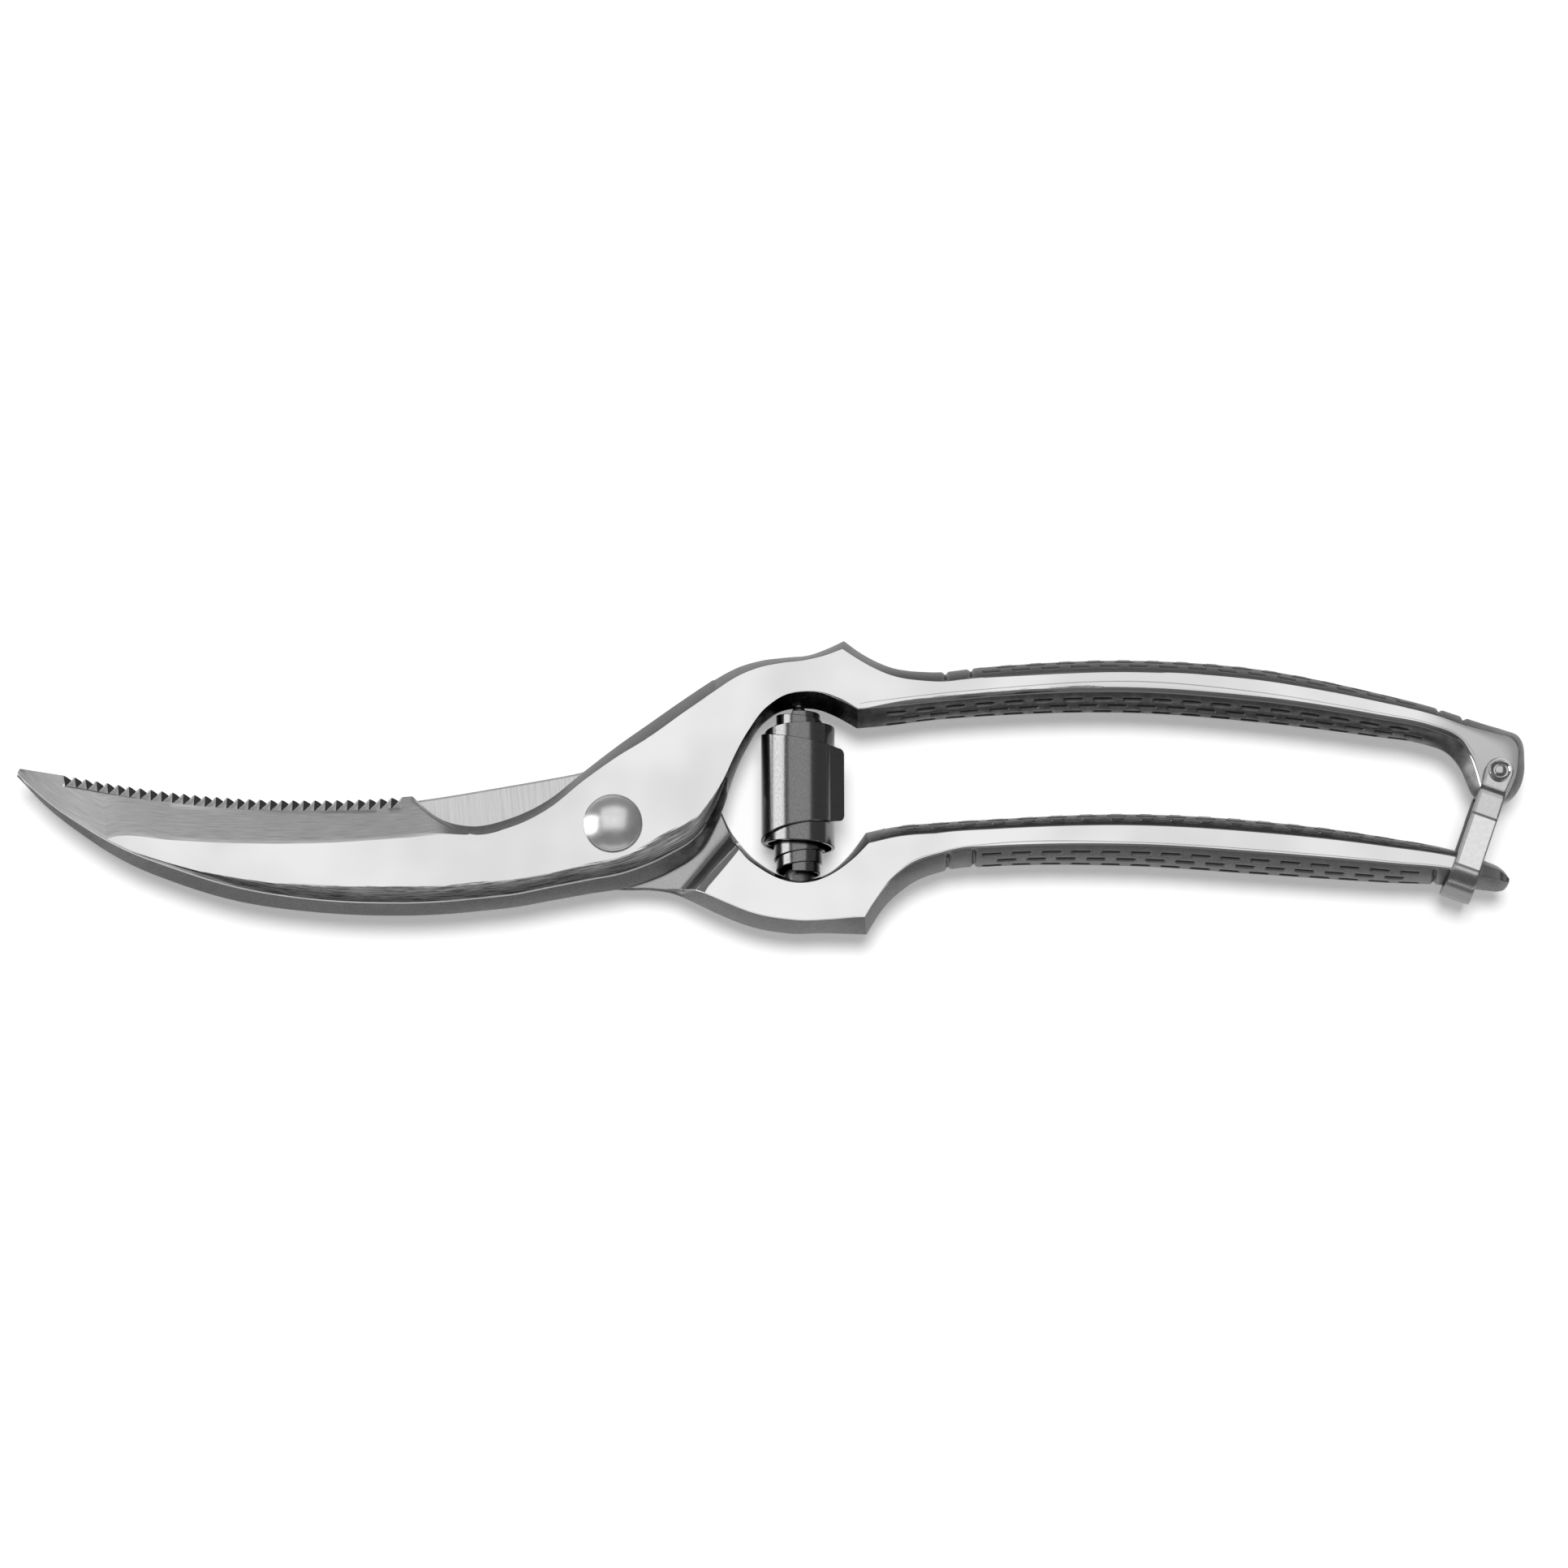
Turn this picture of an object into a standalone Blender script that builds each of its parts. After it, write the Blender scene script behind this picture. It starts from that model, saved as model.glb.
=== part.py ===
"""Poultry shears: two crossed forged halves on a bolt, a double volute spring between the
handles and a swinging loop that locks them shut.

Units are metres (MM converts). The origin is on the pivot axis, at the free end of the bolt, the
plane that the shears rest on. The blades point to -X, the handles to +X, and +Z is up.
"""

import math

import bmesh
import bpy
from mathutils import Vector

MM = 0.001

# Heights, in mm above the resting plane
BODY_BOTTOM = 2.8          # underside of both forged halves, clear of the spring's belly
BODY_THICKNESS = 7.0       # handles and arms
LAP_GAP = 0.3              # between the two crossed halves
BODY_TOP = BODY_BOTTOM + BODY_THICKNESS
BODY_MIDDLE = BODY_BOTTOM + BODY_THICKNESS / 2
LAP_UPPER = BODY_MIDDLE + LAP_GAP / 2      # underside of the front half's blade and lap
LAP_LOWER = BODY_MIDDLE - LAP_GAP / 2      # top of the back half's blade and lap

# Pivot
SEAT_GAP = 0.2             # between pieces that are screwed or riveted together
RUNNING_GAP = 0.2          # round a shank, on the radius
SHANK_RADIUS = 3.0
DOME_RADIUS = 4.95
DOME_HEIGHT = 2.5
NUT_RADIUS = 5.2
NUT_THICKNESS = 3.4
NUT_SLOT = 1.4
WASHER_THICKNESS = 0.5
RECESS_RADIUS = NUT_RADIUS + 0.4
RECESS_TOP = NUT_THICKNESS + WASHER_THICKNESS + 2 * SEAT_GAP

# Blade, arm and handle sections
EDGE_THICKNESS = 0.4       # left at a cutting edge
BEVEL_WIDTH = 7.3          # hollow-ground face behind the serrated edge
BACK_BEVEL_WIDTH = 5.0
SPINE_FALL = 0.6           # how far the flat rolls down before the spine
SPINE_FLAT = 4.3           # flat's distance from the outline at the spine
SPINE_LINE = 2.0
ARM_SLOPE = 2.0            # top face's distance inside the outline on the arms round the spring
HANDLE_SLOPE = 3.1         # the same on the handles
PADDLE_THICKNESS = 4.8     # end of the upper handle, between the loop's ears

# Volute spring
SPRING_CENTRE = (31.2, 6.1)
SPRING_RADIUS = 6.25
SPRING_PITCH = 0.9         # how far the strip moves inwards in a turn
SPRING_TURNS = 3.0
SPRING_WRAP_TURNS = 1.0    # before the strip forks into its two cones
STRIP_THICKNESS = 0.65
TAB_HALF_HEIGHT = 6.3      # at the strip's outer end
TAB_LIFT = 1.1             # how far that end stands off the coil
TAB_TURNS = 0.06
SPRING_HALF_LENGTH = 13.3
END_COIL_WIDTH = 1.3
PEG_RADIUS = 1.9
PEG_LENGTH = 2.0
PEG_ROOT = 1.6             # how deep a peg is rooted in its half

# Lock loop and its rivet
RIVET_AT = (149.1, 9.0)
RIVET_RADIUS = 1.2
RIVET_HEAD_RADIUS = 1.8
RIVET_HEAD_HEIGHT = 0.6
LOOP_ANGLE = math.radians(249.7)   # from the rivet to the loop's bend
LOOP_REACH = 22.0                  # from the rivet to the strap's middle at the bend
STRAP_THICKNESS = 1.2
STRAP_WIDTH = 4.2
EAR_RADIUS = 2.35
EAR_END = 3.0                      # where the ear starts to step out
EAR_STEP = 2.5                     # length of that step
LOOP_BEND_RADIUS = 2.6
LOOP_GAP = 0.3

# A section is eight points in order round the forging: (distance in mm, height). The first four
# distances run from the upper outline inwards, the other four from the lower outline inwards.
ARM_SECTION = [
    (1.2, BODY_BOTTOM), (0, BODY_MIDDLE), (ARM_SLOPE, BODY_TOP - 0.2), (ARM_SLOPE + 0.3, BODY_TOP),
    (ARM_SLOPE + 0.3, BODY_TOP), (ARM_SLOPE, BODY_TOP - 0.2), (0, BODY_MIDDLE), (1.2, BODY_BOTTOM),
]
HANDLE_SECTION = [
    (2.4, BODY_BOTTOM), (0, BODY_MIDDLE), (HANDLE_SLOPE, BODY_TOP - 0.2), (HANDLE_SLOPE + 0.3, BODY_TOP),
    (HANDLE_SLOPE + 0.3, BODY_TOP), (HANDLE_SLOPE, BODY_TOP - 0.2), (0, BODY_MIDDLE), (2.4, BODY_BOTTOM),
]
PADDLE_LOW = BODY_MIDDLE - PADDLE_THICKNESS / 2
PADDLE_HIGH = BODY_MIDDLE + PADDLE_THICKNESS / 2
PADDLE_SECTION = [
    (0.6, PADDLE_LOW), (0, BODY_MIDDLE), (0.8, PADDLE_HIGH - 0.2), (1.1, PADDLE_HIGH),
    (1.1, PADDLE_HIGH), (0.8, PADDLE_HIGH - 0.2), (0, BODY_MIDDLE), (0.6, PADDLE_LOW),
]
FRONT_LAP = [
    (0.3, LAP_UPPER), (0, LAP_UPPER + 0.5), (ARM_SLOPE, BODY_TOP - 0.2), (ARM_SLOPE + 0.3, BODY_TOP),
    (SPINE_FLAT - 1.5, BODY_TOP), (SPINE_LINE, BODY_TOP - 0.5), (0, LAP_UPPER + 0.5), (0.3, LAP_UPPER),
]
FRONT_BLADE = [
    (0, LAP_UPPER), (0, LAP_UPPER + EDGE_THICKNESS), (0.5, LAP_UPPER + EDGE_THICKNESS + 0.2),
    (BEVEL_WIDTH, BODY_TOP),
    (SPINE_FLAT, BODY_TOP), (SPINE_LINE, BODY_TOP - SPINE_FALL), (0, LAP_UPPER + 0.5), (0.3, LAP_UPPER),
]
FRONT_TIP = [
    (0, LAP_UPPER), (0, LAP_UPPER + EDGE_THICKNESS), (0.1, LAP_UPPER + EDGE_THICKNESS + 0.2),
    (0.5, LAP_UPPER + 1.6),
    (0.6, LAP_UPPER + 1.6), (0.3, LAP_UPPER + 1.4), (0, LAP_UPPER + 0.5), (0.1, LAP_UPPER),
]
BACK_LAP = [
    (0.9, BODY_BOTTOM), (0, LAP_LOWER - 0.5), (0.2, LAP_LOWER - 0.2), (0.4, LAP_LOWER),
    (0.4, LAP_LOWER), (0.2, LAP_LOWER - 0.2), (0, LAP_LOWER - 0.5), (0.9, BODY_BOTTOM),
]
BACK_BLADE = [
    (1.2, BODY_BOTTOM), (0, LAP_LOWER - 0.8), (0.2, LAP_LOWER - 0.2), (0.4, LAP_LOWER),
    (0.2, LAP_LOWER), (0.1, LAP_LOWER), (0, LAP_LOWER - EDGE_THICKNESS), (BACK_BEVEL_WIDTH, BODY_BOTTOM),
]
BACK_TIP = [
    (0.1, LAP_LOWER - 1.3), (0, LAP_LOWER - 0.8), (0.05, LAP_LOWER - 0.2), (0.1, LAP_LOWER),
    (0.1, LAP_LOWER), (0.05, LAP_LOWER - 0.1), (0, LAP_LOWER - EDGE_THICKNESS), (0.1, LAP_LOWER - 1.3),
]

# A rib is (upper outline point, lower outline point, section, which of the two is a corner).
FRONT_RIBS = [
    ((-100.4, 10.2), (-100.9, 8.9), FRONT_TIP, ""),
    ((-96.7, 9.6), (-96.0, 3.9), FRONT_BLADE, ""),
    ((-90.0, 8.5), (-87.5, -2.6), FRONT_BLADE, ""),
    ((-74.0, 6.0), (-73.3, -9.6), FRONT_BLADE, ""),
    ((-63.0, 5.0), (-63.0, -12.6), FRONT_BLADE, ""),
    ((-50.0, 4.7), (-50.0, -14.6), FRONT_BLADE, ""),
    ((-38.0, 5.1), (-38.0, -15.2), FRONT_BLADE, ""),
    ((-34.0, 5.4), (-34.0, -15.2), FRONT_BLADE, "u"),
    ((-30.4, 2.2), (-29.0, -15.0), FRONT_LAP, ""),
    ((-24.2, 0.2), (-22.4, -14.4), FRONT_LAP, ""),
    ((-17.6, 1.5), (-16.2, -13.7), FRONT_LAP, ""),
    ((-10.7, 5.0), (-9.3, -12.4), FRONT_LAP, ""),
    ((-5.2, 9.6), (-3.8, -11.4), FRONT_LAP, ""),
    ((0.3, 14.0), (2.4, -10.3), FRONT_LAP, ""),
    ((5.9, 18.1), (9.3, -7.6), FRONT_LAP, ""),
    ((11.4, 22.1), (15.2, -3.2), FRONT_LAP, ""),
    ((16.6, 25.7), (19.2, 5.6), FRONT_LAP, ""),
    ((16.9, 25.9), (19.3, 6.0), ARM_SECTION, ""),
    ((20.6, 28.0), (20.6, 10.0), ARM_SECTION, ""),
    ((24.7, 29.3), (22.4, 14.0), ARM_SECTION, ""),
    ((29.3, 29.9), (25.2, 18.3), ARM_SECTION, ""),
    ((33.0, 30.3), (28.9, 20.6), ARM_SECTION, ""),
    ((36.0, 31.4), (33.6, 20.8), ARM_SECTION, ""),
    ((38.9, 32.8), (37.2, 19.6), ARM_SECTION, "u"),
    ((41.7, 30.7), (41.1, 17.4), ARM_SECTION, "l"),
    ((46.4, 28.3), (46.4, 17.9), HANDLE_SECTION, ""),
    ((53.4, 27.3), (53.4, 18.8), HANDLE_SECTION, ""),
    ((63.7, 28.3), (63.7, 19.6), HANDLE_SECTION, ""),
    ((88.5, 29.4), (88.5, 20.1), HANDLE_SECTION, ""),
    ((109.0, 27.9), (108.8, 18.5), HANDLE_SECTION, ""),
    ((129.8, 23.5), (128.4, 16.0), HANDLE_SECTION, ""),
    ((139.4, 20.9), (136.7, 14.7), HANDLE_SECTION, ""),
    ((147.6, 18.1), (141.9, 12.2), PADDLE_SECTION, ""),
    ((153.1, 15.5), (144.0, 8.3), PADDLE_SECTION, ""),
    ((154.0, 12.6), (144.5, 6.3), PADDLE_SECTION, ""),
    ((153.2, 7.7), (145.4, 4.9), PADDLE_SECTION, ""),
    ((150.7, 4.7), (147.9, 4.2), PADDLE_SECTION, ""),
]
BACK_RIBS = [
    ((-99.1, 8.2), (-99.4, 7.6), BACK_TIP, ""),
    ((-90.5, 6.6), (-90.5, 2.6), BACK_TIP, ""),
    ((-76.8, 4.3), (-76.8, -3.4), BACK_BLADE, ""),
    ((-63.0, 3.2), (-63.0, -6.6), BACK_BLADE, ""),
    ((-49.2, 3.2), (-49.2, -8.4), BACK_BLADE, ""),
    ((-33.4, 4.9), (-34.1, -9.3), BACK_BLADE, ""),
    ((-18.9, 7.3), (-20.0, -9.3), BACK_BLADE, ""),
    ((-7.9, 9.3), (-9.3, -9.9), BACK_LAP, ""),
    ((5.9, 12.0), (2.4, -10.6), BACK_LAP, ""),
    ((12.0, 10.9), (5.9, -10.6), BACK_LAP, ""),
    ((16.4, 6.6), (8.6, -10.9), BACK_LAP, ""),
    ((19.7, -0.4), (10.9, -11.5), BACK_LAP, ""),
    ((21.0, -2.3), (12.6, -12.3), ARM_SECTION, ""),
    ((22.6, -4.3), (16.6, -14.3), ARM_SECTION, ""),
    ((25.2, -6.5), (21.2, -16.3), ARM_SECTION, ""),
    ((31.3, -8.9), (29.3, -18.1), ARM_SECTION, ""),
    ((37.3, -7.0), (36.4, -18.1), ARM_SECTION, ""),
    ((40.3, -3.9), (42.5, -18.3), ARM_SECTION, "l"),
    ((42.5, -0.8), (44.7, -14.7), ARM_SECTION, "u"),
    ((47.3, 0.3), (49.2, -10.2), HANDLE_SECTION, ""),
    ((54.6, 1.0), (56.0, -7.3), HANDLE_SECTION, ""),
    ((63.7, 1.6), (63.7, -6.6), HANDLE_SECTION, ""),
    ((88.5, 2.5), (88.5, -6.6), HANDLE_SECTION, ""),
    ((109.0, 1.3), (109.0, -8.0), HANDLE_SECTION, ""),
    ((129.8, -1.5), (129.8, -9.4), HANDLE_SECTION, ""),
    ((142.9, -4.3), (142.2, -10.1), HANDLE_SECTION, ""),
    ((148.4, -6.4), (148.4, -10.8), HANDLE_SECTION, ""),
    ((151.5, -8.4), (151.5, -10.4), PADDLE_SECTION, ""),
]
STEPS_PER_RIB = 3


def clear_scene():
    for thing in list(bpy.data.objects):
        bpy.data.objects.remove(thing)


def new_collection(name):
    collection = bpy.data.collections.new(name)
    bpy.context.scene.collection.children.link(collection)
    return collection


def new_material(name, colour, roughness, metallic=1.0):
    material = bpy.data.materials.new(name)
    material.use_nodes = True
    shader = material.node_tree.nodes["Principled BSDF"]
    shader.inputs["Base Color"].default_value = (*colour, 1)
    shader.inputs["Roughness"].default_value = roughness
    shader.inputs["Metallic"].default_value = metallic
    return material


def new_object(name, mesh_maker, collection):
    """An object from a bmesh in mm."""
    bmesh.ops.recalc_face_normals(mesh_maker, faces=mesh_maker.faces)
    bmesh.ops.scale(mesh_maker, vec=(MM, MM, MM), verts=mesh_maker.verts)
    mesh = bpy.data.meshes.new(name)
    mesh_maker.to_mesh(mesh)
    mesh_maker.free()
    thing = bpy.data.objects.new(name, mesh)
    collection.objects.link(thing)
    return thing


def shade_round(thing, material, degrees=35):
    thing.data.materials.clear()
    thing.data.materials.append(material)
    thing.data.shade_smooth()
    thing.data.set_sharp_from_angle(angle=math.radians(degrees))


def smooth_line(points, corners, steps):
    """A Catmull-Rom curve through the points, broken where corners says so."""
    line = [Vector(points[0])]
    last = len(points) - 1
    for i in range(last):
        here, there = Vector(points[i]), Vector(points[i + 1])
        span = (there - here).length
        before = here if i == 0 or corners[i] else Vector(points[i - 1])
        after = there if i + 1 == last or corners[i + 1] else Vector(points[i + 2])
        leave = (there - before) * span / max((here - before).length + span, span)
        arrive = (after - here) * span / max((after - there).length + span, span)
        for k in range(1, steps + 1):
            t = k / steps
            line.append(
                here * (2 * t**3 - 3 * t**2 + 1) + leave * (t**3 - 2 * t**2 + t)
                + there * (3 * t**2 - 2 * t**3) + arrive * (t**3 - t**2)
            )
    return line


def section_points(upper, lower, section):
    """The section's eight points in space, squeezed together where the rib is narrow."""
    width = (lower - upper).length
    across = (lower - upper) / width
    taken = section[3][0] + section[4][0]
    squeeze = min(1, 0.9 * width / max(taken, 0.01))
    points = []
    for i, (distance, height) in enumerate(section):
        start, way = (upper, across) if i < 4 else (lower, -across)
        flat = start + way * distance * squeeze
        points.append(Vector((flat.x, flat.y, height)))
    return points


def forged_half(name, ribs, collection):
    """A loft through the ribs: unlike sections, so its faces are built here."""
    uppers = smooth_line([r[0] for r in ribs], ["u" in r[3] for r in ribs], STEPS_PER_RIB)
    lowers = smooth_line([r[1] for r in ribs], ["l" in r[3] for r in ribs], STEPS_PER_RIB)
    bm = bmesh.new()
    rings = []
    for i, (upper, lower) in enumerate(zip(uppers, lowers)):
        rib, part = min(i // STEPS_PER_RIB, len(ribs) - 2), i % STEPS_PER_RIB / STEPS_PER_RIB
        if i == len(uppers) - 1:
            part = 1.0
        here, there = ribs[rib][2], ribs[rib + 1][2]
        section = [
            (a[0] + (b[0] - a[0]) * part, a[1] + (b[1] - a[1]) * part) for a, b in zip(here, there)
        ]
        rings.append([bm.verts.new(p) for p in section_points(upper, lower, section)])
    for ring, following in zip(rings, rings[1:]):
        for k in range(8):
            bm.faces.new((ring[k], ring[(k + 1) % 8], following[(k + 1) % 8], following[k]))
    bm.faces.new(rings[0])
    bm.faces.new(reversed(rings[-1]))
    return new_object(name, bm, collection)


def cylinder(name, radius, bottom, top, collection, at=(0, 0), segments=48, top_radius=None):
    """An upright cylinder or cone between two heights, in mm."""
    bm = bmesh.new()
    bmesh.ops.create_cone(
        bm, cap_ends=True, segments=segments, radius1=radius,
        radius2=radius if top_radius is None else top_radius, depth=top - bottom,
    )
    bmesh.ops.translate(bm, vec=(*at, (top + bottom) / 2), verts=bm.verts)
    return new_object(name, bm, collection)


def boolean(thing, operation, other):
    modifier = thing.modifiers.new(f"{operation.lower()} {other.name}", "BOOLEAN")
    modifier.operation = operation
    modifier.solver = "EXACT"
    modifier.object = other
    other.hide_render = True
    other.display_type = "WIRE"


def turned(name, profile, steps, collection, material):
    """A turned piece: a profile of (radius, height) in mm, running down its outer side."""
    bm = bmesh.new()
    points = [bm.verts.new((radius, 0, height)) for radius, height in profile]
    for a, b in zip(points, points[1:]):
        bm.edges.new((a, b))
    thing = new_object(name, bm, collection)
    screw = thing.modifiers.new("turn", "SCREW")
    screw.steps = screw.render_steps = steps
    screw.use_merge_vertices = True
    screw.merge_threshold = 0.00001
    screw.use_smooth_shade = True
    thing.data.materials.append(material)
    return thing


def spring_peg(name, wall_y, towards, collection):
    """A forged nub along Y that the spring's end coil sits over."""
    bm = bmesh.new()
    bmesh.ops.create_cone(
        bm, cap_ends=True, segments=20, radius1=PEG_RADIUS, radius2=PEG_RADIUS * 0.8,
        depth=PEG_LENGTH + PEG_ROOT,
    )
    bmesh.ops.rotate(
        bm, matrix=Vector((0, 0, 1)).rotation_difference(Vector((0, towards, 0))).to_matrix(),
        verts=bm.verts,
    )
    middle = wall_y + towards * (PEG_LENGTH - PEG_ROOT) / 2
    bmesh.ops.translate(bm, vec=(SPRING_CENTRE[0], middle, BODY_MIDDLE), verts=bm.verts)
    return new_object(name, bm, collection)


def volute_spring(name, collection, material):
    """A strip that winds inwards and forks into an upper and a lower cone."""
    per_turn, rows = 28, 3
    bm = bmesh.new()

    def point(turns, height):
        lifted = max(0, 1 - turns / TAB_TURNS)
        radius = SPRING_RADIUS - SPRING_PITCH * turns + TAB_LIFT * lifted
        angle = turns * 2 * math.pi
        return bm.verts.new((
            SPRING_CENTRE[0] + radius * math.cos(angle),
            SPRING_CENTRE[1] + height,
            BODY_MIDDLE + radius * math.sin(angle),
        ))

    columns = []
    for i in range(int(per_turn * SPRING_TURNS) + 1):
        turns = i / per_turn
        wound = turns / SPRING_TURNS
        rim = TAB_HALF_HEIGHT + (SPRING_HALF_LENGTH - TAB_HALF_HEIGHT) * (1 - (1 - wound) ** 2.4)
        forked = max(0, turns - SPRING_WRAP_TURNS) / (SPRING_TURNS - SPRING_WRAP_TURNS)
        fork = (SPRING_HALF_LENGTH - END_COIL_WIDTH) * math.sqrt(forked)
        heights = [fork + (rim - fork) * k / rows for k in range(rows + 1)]
        upper = [point(turns, h) for h in heights]
        lower = [upper[0]] if fork == 0 else [point(turns, -fork)]
        lower += [point(turns, -h) for h in heights[1:]]
        columns.append((upper, lower))
    for here, there in zip(columns, columns[1:]):
        for a, b in zip(here, there):
            for k in range(rows):
                bm.faces.new((a[k], b[k], b[k + 1], a[k + 1]))
    thing = new_object(name, bm, collection)
    solidify = thing.modifiers.new("strip", "SOLIDIFY")
    solidify.thickness = STRIP_THICKNESS * MM
    solidify.offset = 0
    solidify.use_even_offset = True
    shade_round(thing, material)
    return thing


def loop_path():
    """The strap's middle line as (reach from the rivet, height), from ear to ear."""
    ear = BODY_MIDDLE - PADDLE_THICKNESS / 2 - LOOP_GAP - STRAP_THICKNESS / 2
    leg = BODY_BOTTOM - LOOP_GAP - STRAP_THICKNESS / 2
    half = [(-EAR_RADIUS + EAR_RADIUS * (1 - math.cos(math.radians(a))), ear) for a in range(0, 91, 15)]
    half += [(EAR_END, ear), (EAR_END + EAR_STEP, leg)]
    bend = LOOP_REACH - LOOP_BEND_RADIUS
    for degrees in range(0, 91, 15):
        turn = math.radians(degrees)
        half.append((
            bend + LOOP_BEND_RADIUS * math.sin(turn),
            leg + LOOP_BEND_RADIUS * (1 - math.cos(turn)),
        ))
    return half + [(reach, 2 * BODY_MIDDLE - height) for reach, height in reversed(half)]


def strap_half_width(reach):
    if reach < 0:
        return max(0.3, math.sqrt(EAR_RADIUS**2 - reach**2))
    neck = min(1, reach / EAR_END)
    return EAR_RADIUS + (STRAP_WIDTH / 2 - EAR_RADIUS) * neck


def lock_loop(name, collection, material):
    bm = bmesh.new()
    along = Vector((math.cos(LOOP_ANGLE), math.sin(LOOP_ANGLE), 0))
    across = Vector((-along.y, along.x, 0))
    rows = []
    for reach, height in loop_path():
        middle = Vector((*RIVET_AT, height)) + along * reach
        side = across * strap_half_width(reach)
        rows.append([bm.verts.new(middle - side), bm.verts.new(middle), bm.verts.new(middle + side)])
    for here, there in zip(rows, rows[1:]):
        for k in range(2):
            bm.faces.new((here[k], here[k + 1], there[k + 1], there[k]))
    thing = new_object(name, bm, collection)
    solidify = thing.modifiers.new("strap", "SOLIDIFY")
    solidify.thickness = STRAP_THICKNESS * MM
    solidify.offset = 0
    solidify.use_even_offset = True
    shade_round(thing, material)
    return thing


def dome_profile():
    """The bolt: a domed head over its shank, running down the outside."""
    under_head = BODY_TOP + SEAT_GAP
    rim = 0.6
    profile = [(0, under_head + DOME_HEIGHT)]
    for degrees in range(15, 91, 15):
        turn = math.radians(degrees)
        height = under_head + rim + (DOME_HEIGHT - rim) * math.cos(turn)
        profile.append((DOME_RADIUS * math.sin(turn), height))
    return profile + [(DOME_RADIUS, under_head), (SHANK_RADIUS, under_head), (SHANK_RADIUS, 0), (0, 0)]


def ring_profile(inner, outer, bottom, top):
    return [(inner, top), (outer, top), (outer, bottom), (inner, bottom), (inner, top)]


def rivet_profile():
    ear_top = PADDLE_HIGH + LOOP_GAP + STRAP_THICKNESS + SEAT_GAP
    head_top = ear_top + RIVET_HEAD_HEIGHT
    tail_top = 2 * BODY_MIDDLE - ear_top
    tail_bottom = tail_top - RIVET_HEAD_HEIGHT
    return [
        (0, head_top), (RIVET_HEAD_RADIUS - 0.3, head_top), (RIVET_HEAD_RADIUS, head_top - 0.3),
        (RIVET_HEAD_RADIUS, ear_top), (RIVET_RADIUS, ear_top), (RIVET_RADIUS, tail_top),
        (RIVET_HEAD_RADIUS, tail_top), (RIVET_HEAD_RADIUS, tail_bottom + 0.3),
        (RIVET_HEAD_RADIUS - 0.3, tail_bottom), (0, tail_bottom),
    ]


def build():
    clear_scene()
    shears = new_collection("poultry_shears")
    cutters = new_collection("cutters")
    forged = new_material("forged steel", (0.62, 0.62, 0.61), 0.32)
    bolt_steel = new_material("bolt steel", (0.70, 0.70, 0.69), 0.20)
    spring_steel = new_material("spring steel", (0.30, 0.30, 0.31), 0.22)
    strap_steel = new_material("strap steel", (0.50, 0.50, 0.50), 0.30)

    bore = cylinder("pivot_bore", SHANK_RADIUS + RUNNING_GAP, -5, 20, cutters)
    recess = cylinder("nut_recess", RECESS_RADIUS, -5, RECESS_TOP, cutters)
    rivet_hole = cylinder(
        "rivet_hole", RIVET_RADIUS + RUNNING_GAP, -5, 20, cutters, at=RIVET_AT, segments=24
    )

    front = forged_half("front_blade_half", FRONT_RIBS, shears)
    shade_round(front, forged, 25)
    boolean(front, "UNION", spring_peg("front_peg", 20.7, -1, cutters))
    boolean(front, "DIFFERENCE", bore)
    boolean(front, "DIFFERENCE", rivet_hole)

    back = forged_half("back_blade_half", BACK_RIBS, shears)
    shade_round(back, forged, 25)
    boolean(back, "UNION", spring_peg("back_peg", -8.8, 1, cutters))
    boolean(back, "DIFFERENCE", bore)
    boolean(back, "DIFFERENCE", recess)

    turned("pivot_bolt", dome_profile(), 48, shears, bolt_steel)
    inside_nut = SHANK_RADIUS + RUNNING_GAP
    nut = turned("pivot_nut", ring_profile(inside_nut, NUT_RADIUS, 0, NUT_THICKNESS), 48, shears, bolt_steel)
    slot = bmesh.new()
    bmesh.ops.create_cube(slot, size=1)
    bmesh.ops.scale(slot, vec=(3 * NUT_RADIUS, NUT_SLOT, 1.2), verts=slot.verts)
    boolean(nut, "DIFFERENCE", new_object("nut_slot", slot, cutters))
    washer_bottom = NUT_THICKNESS + SEAT_GAP
    turned(
        "pivot_washer",
        ring_profile(inside_nut, NUT_RADIUS, washer_bottom, washer_bottom + WASHER_THICKNESS),
        48, shears, bolt_steel,
    )
    volute_spring("volute_spring", shears, spring_steel)
    loop = lock_loop("lock_loop", shears, strap_steel)
    boolean(loop, "DIFFERENCE", rivet_hole)
    rivet = turned("lock_rivet", rivet_profile(), 24, shears, bolt_steel)
    rivet.location = (RIVET_AT[0] * MM, RIVET_AT[1] * MM, 0)


build()
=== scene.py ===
# %% [markdown]
# # Poultry shears, finished
#
# This file takes a working model of a pair of poultry shears and gives it its looks. The model
# says where every piece is and how it moves. The cells below rebuild the visible surfaces with
# much finer meshes, give each its steel, and set up a small studio. Lengths are written in
# millimetres, as a maker would, and turned into Blender's metres in one place.

# %% Load the working model
import math

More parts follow.
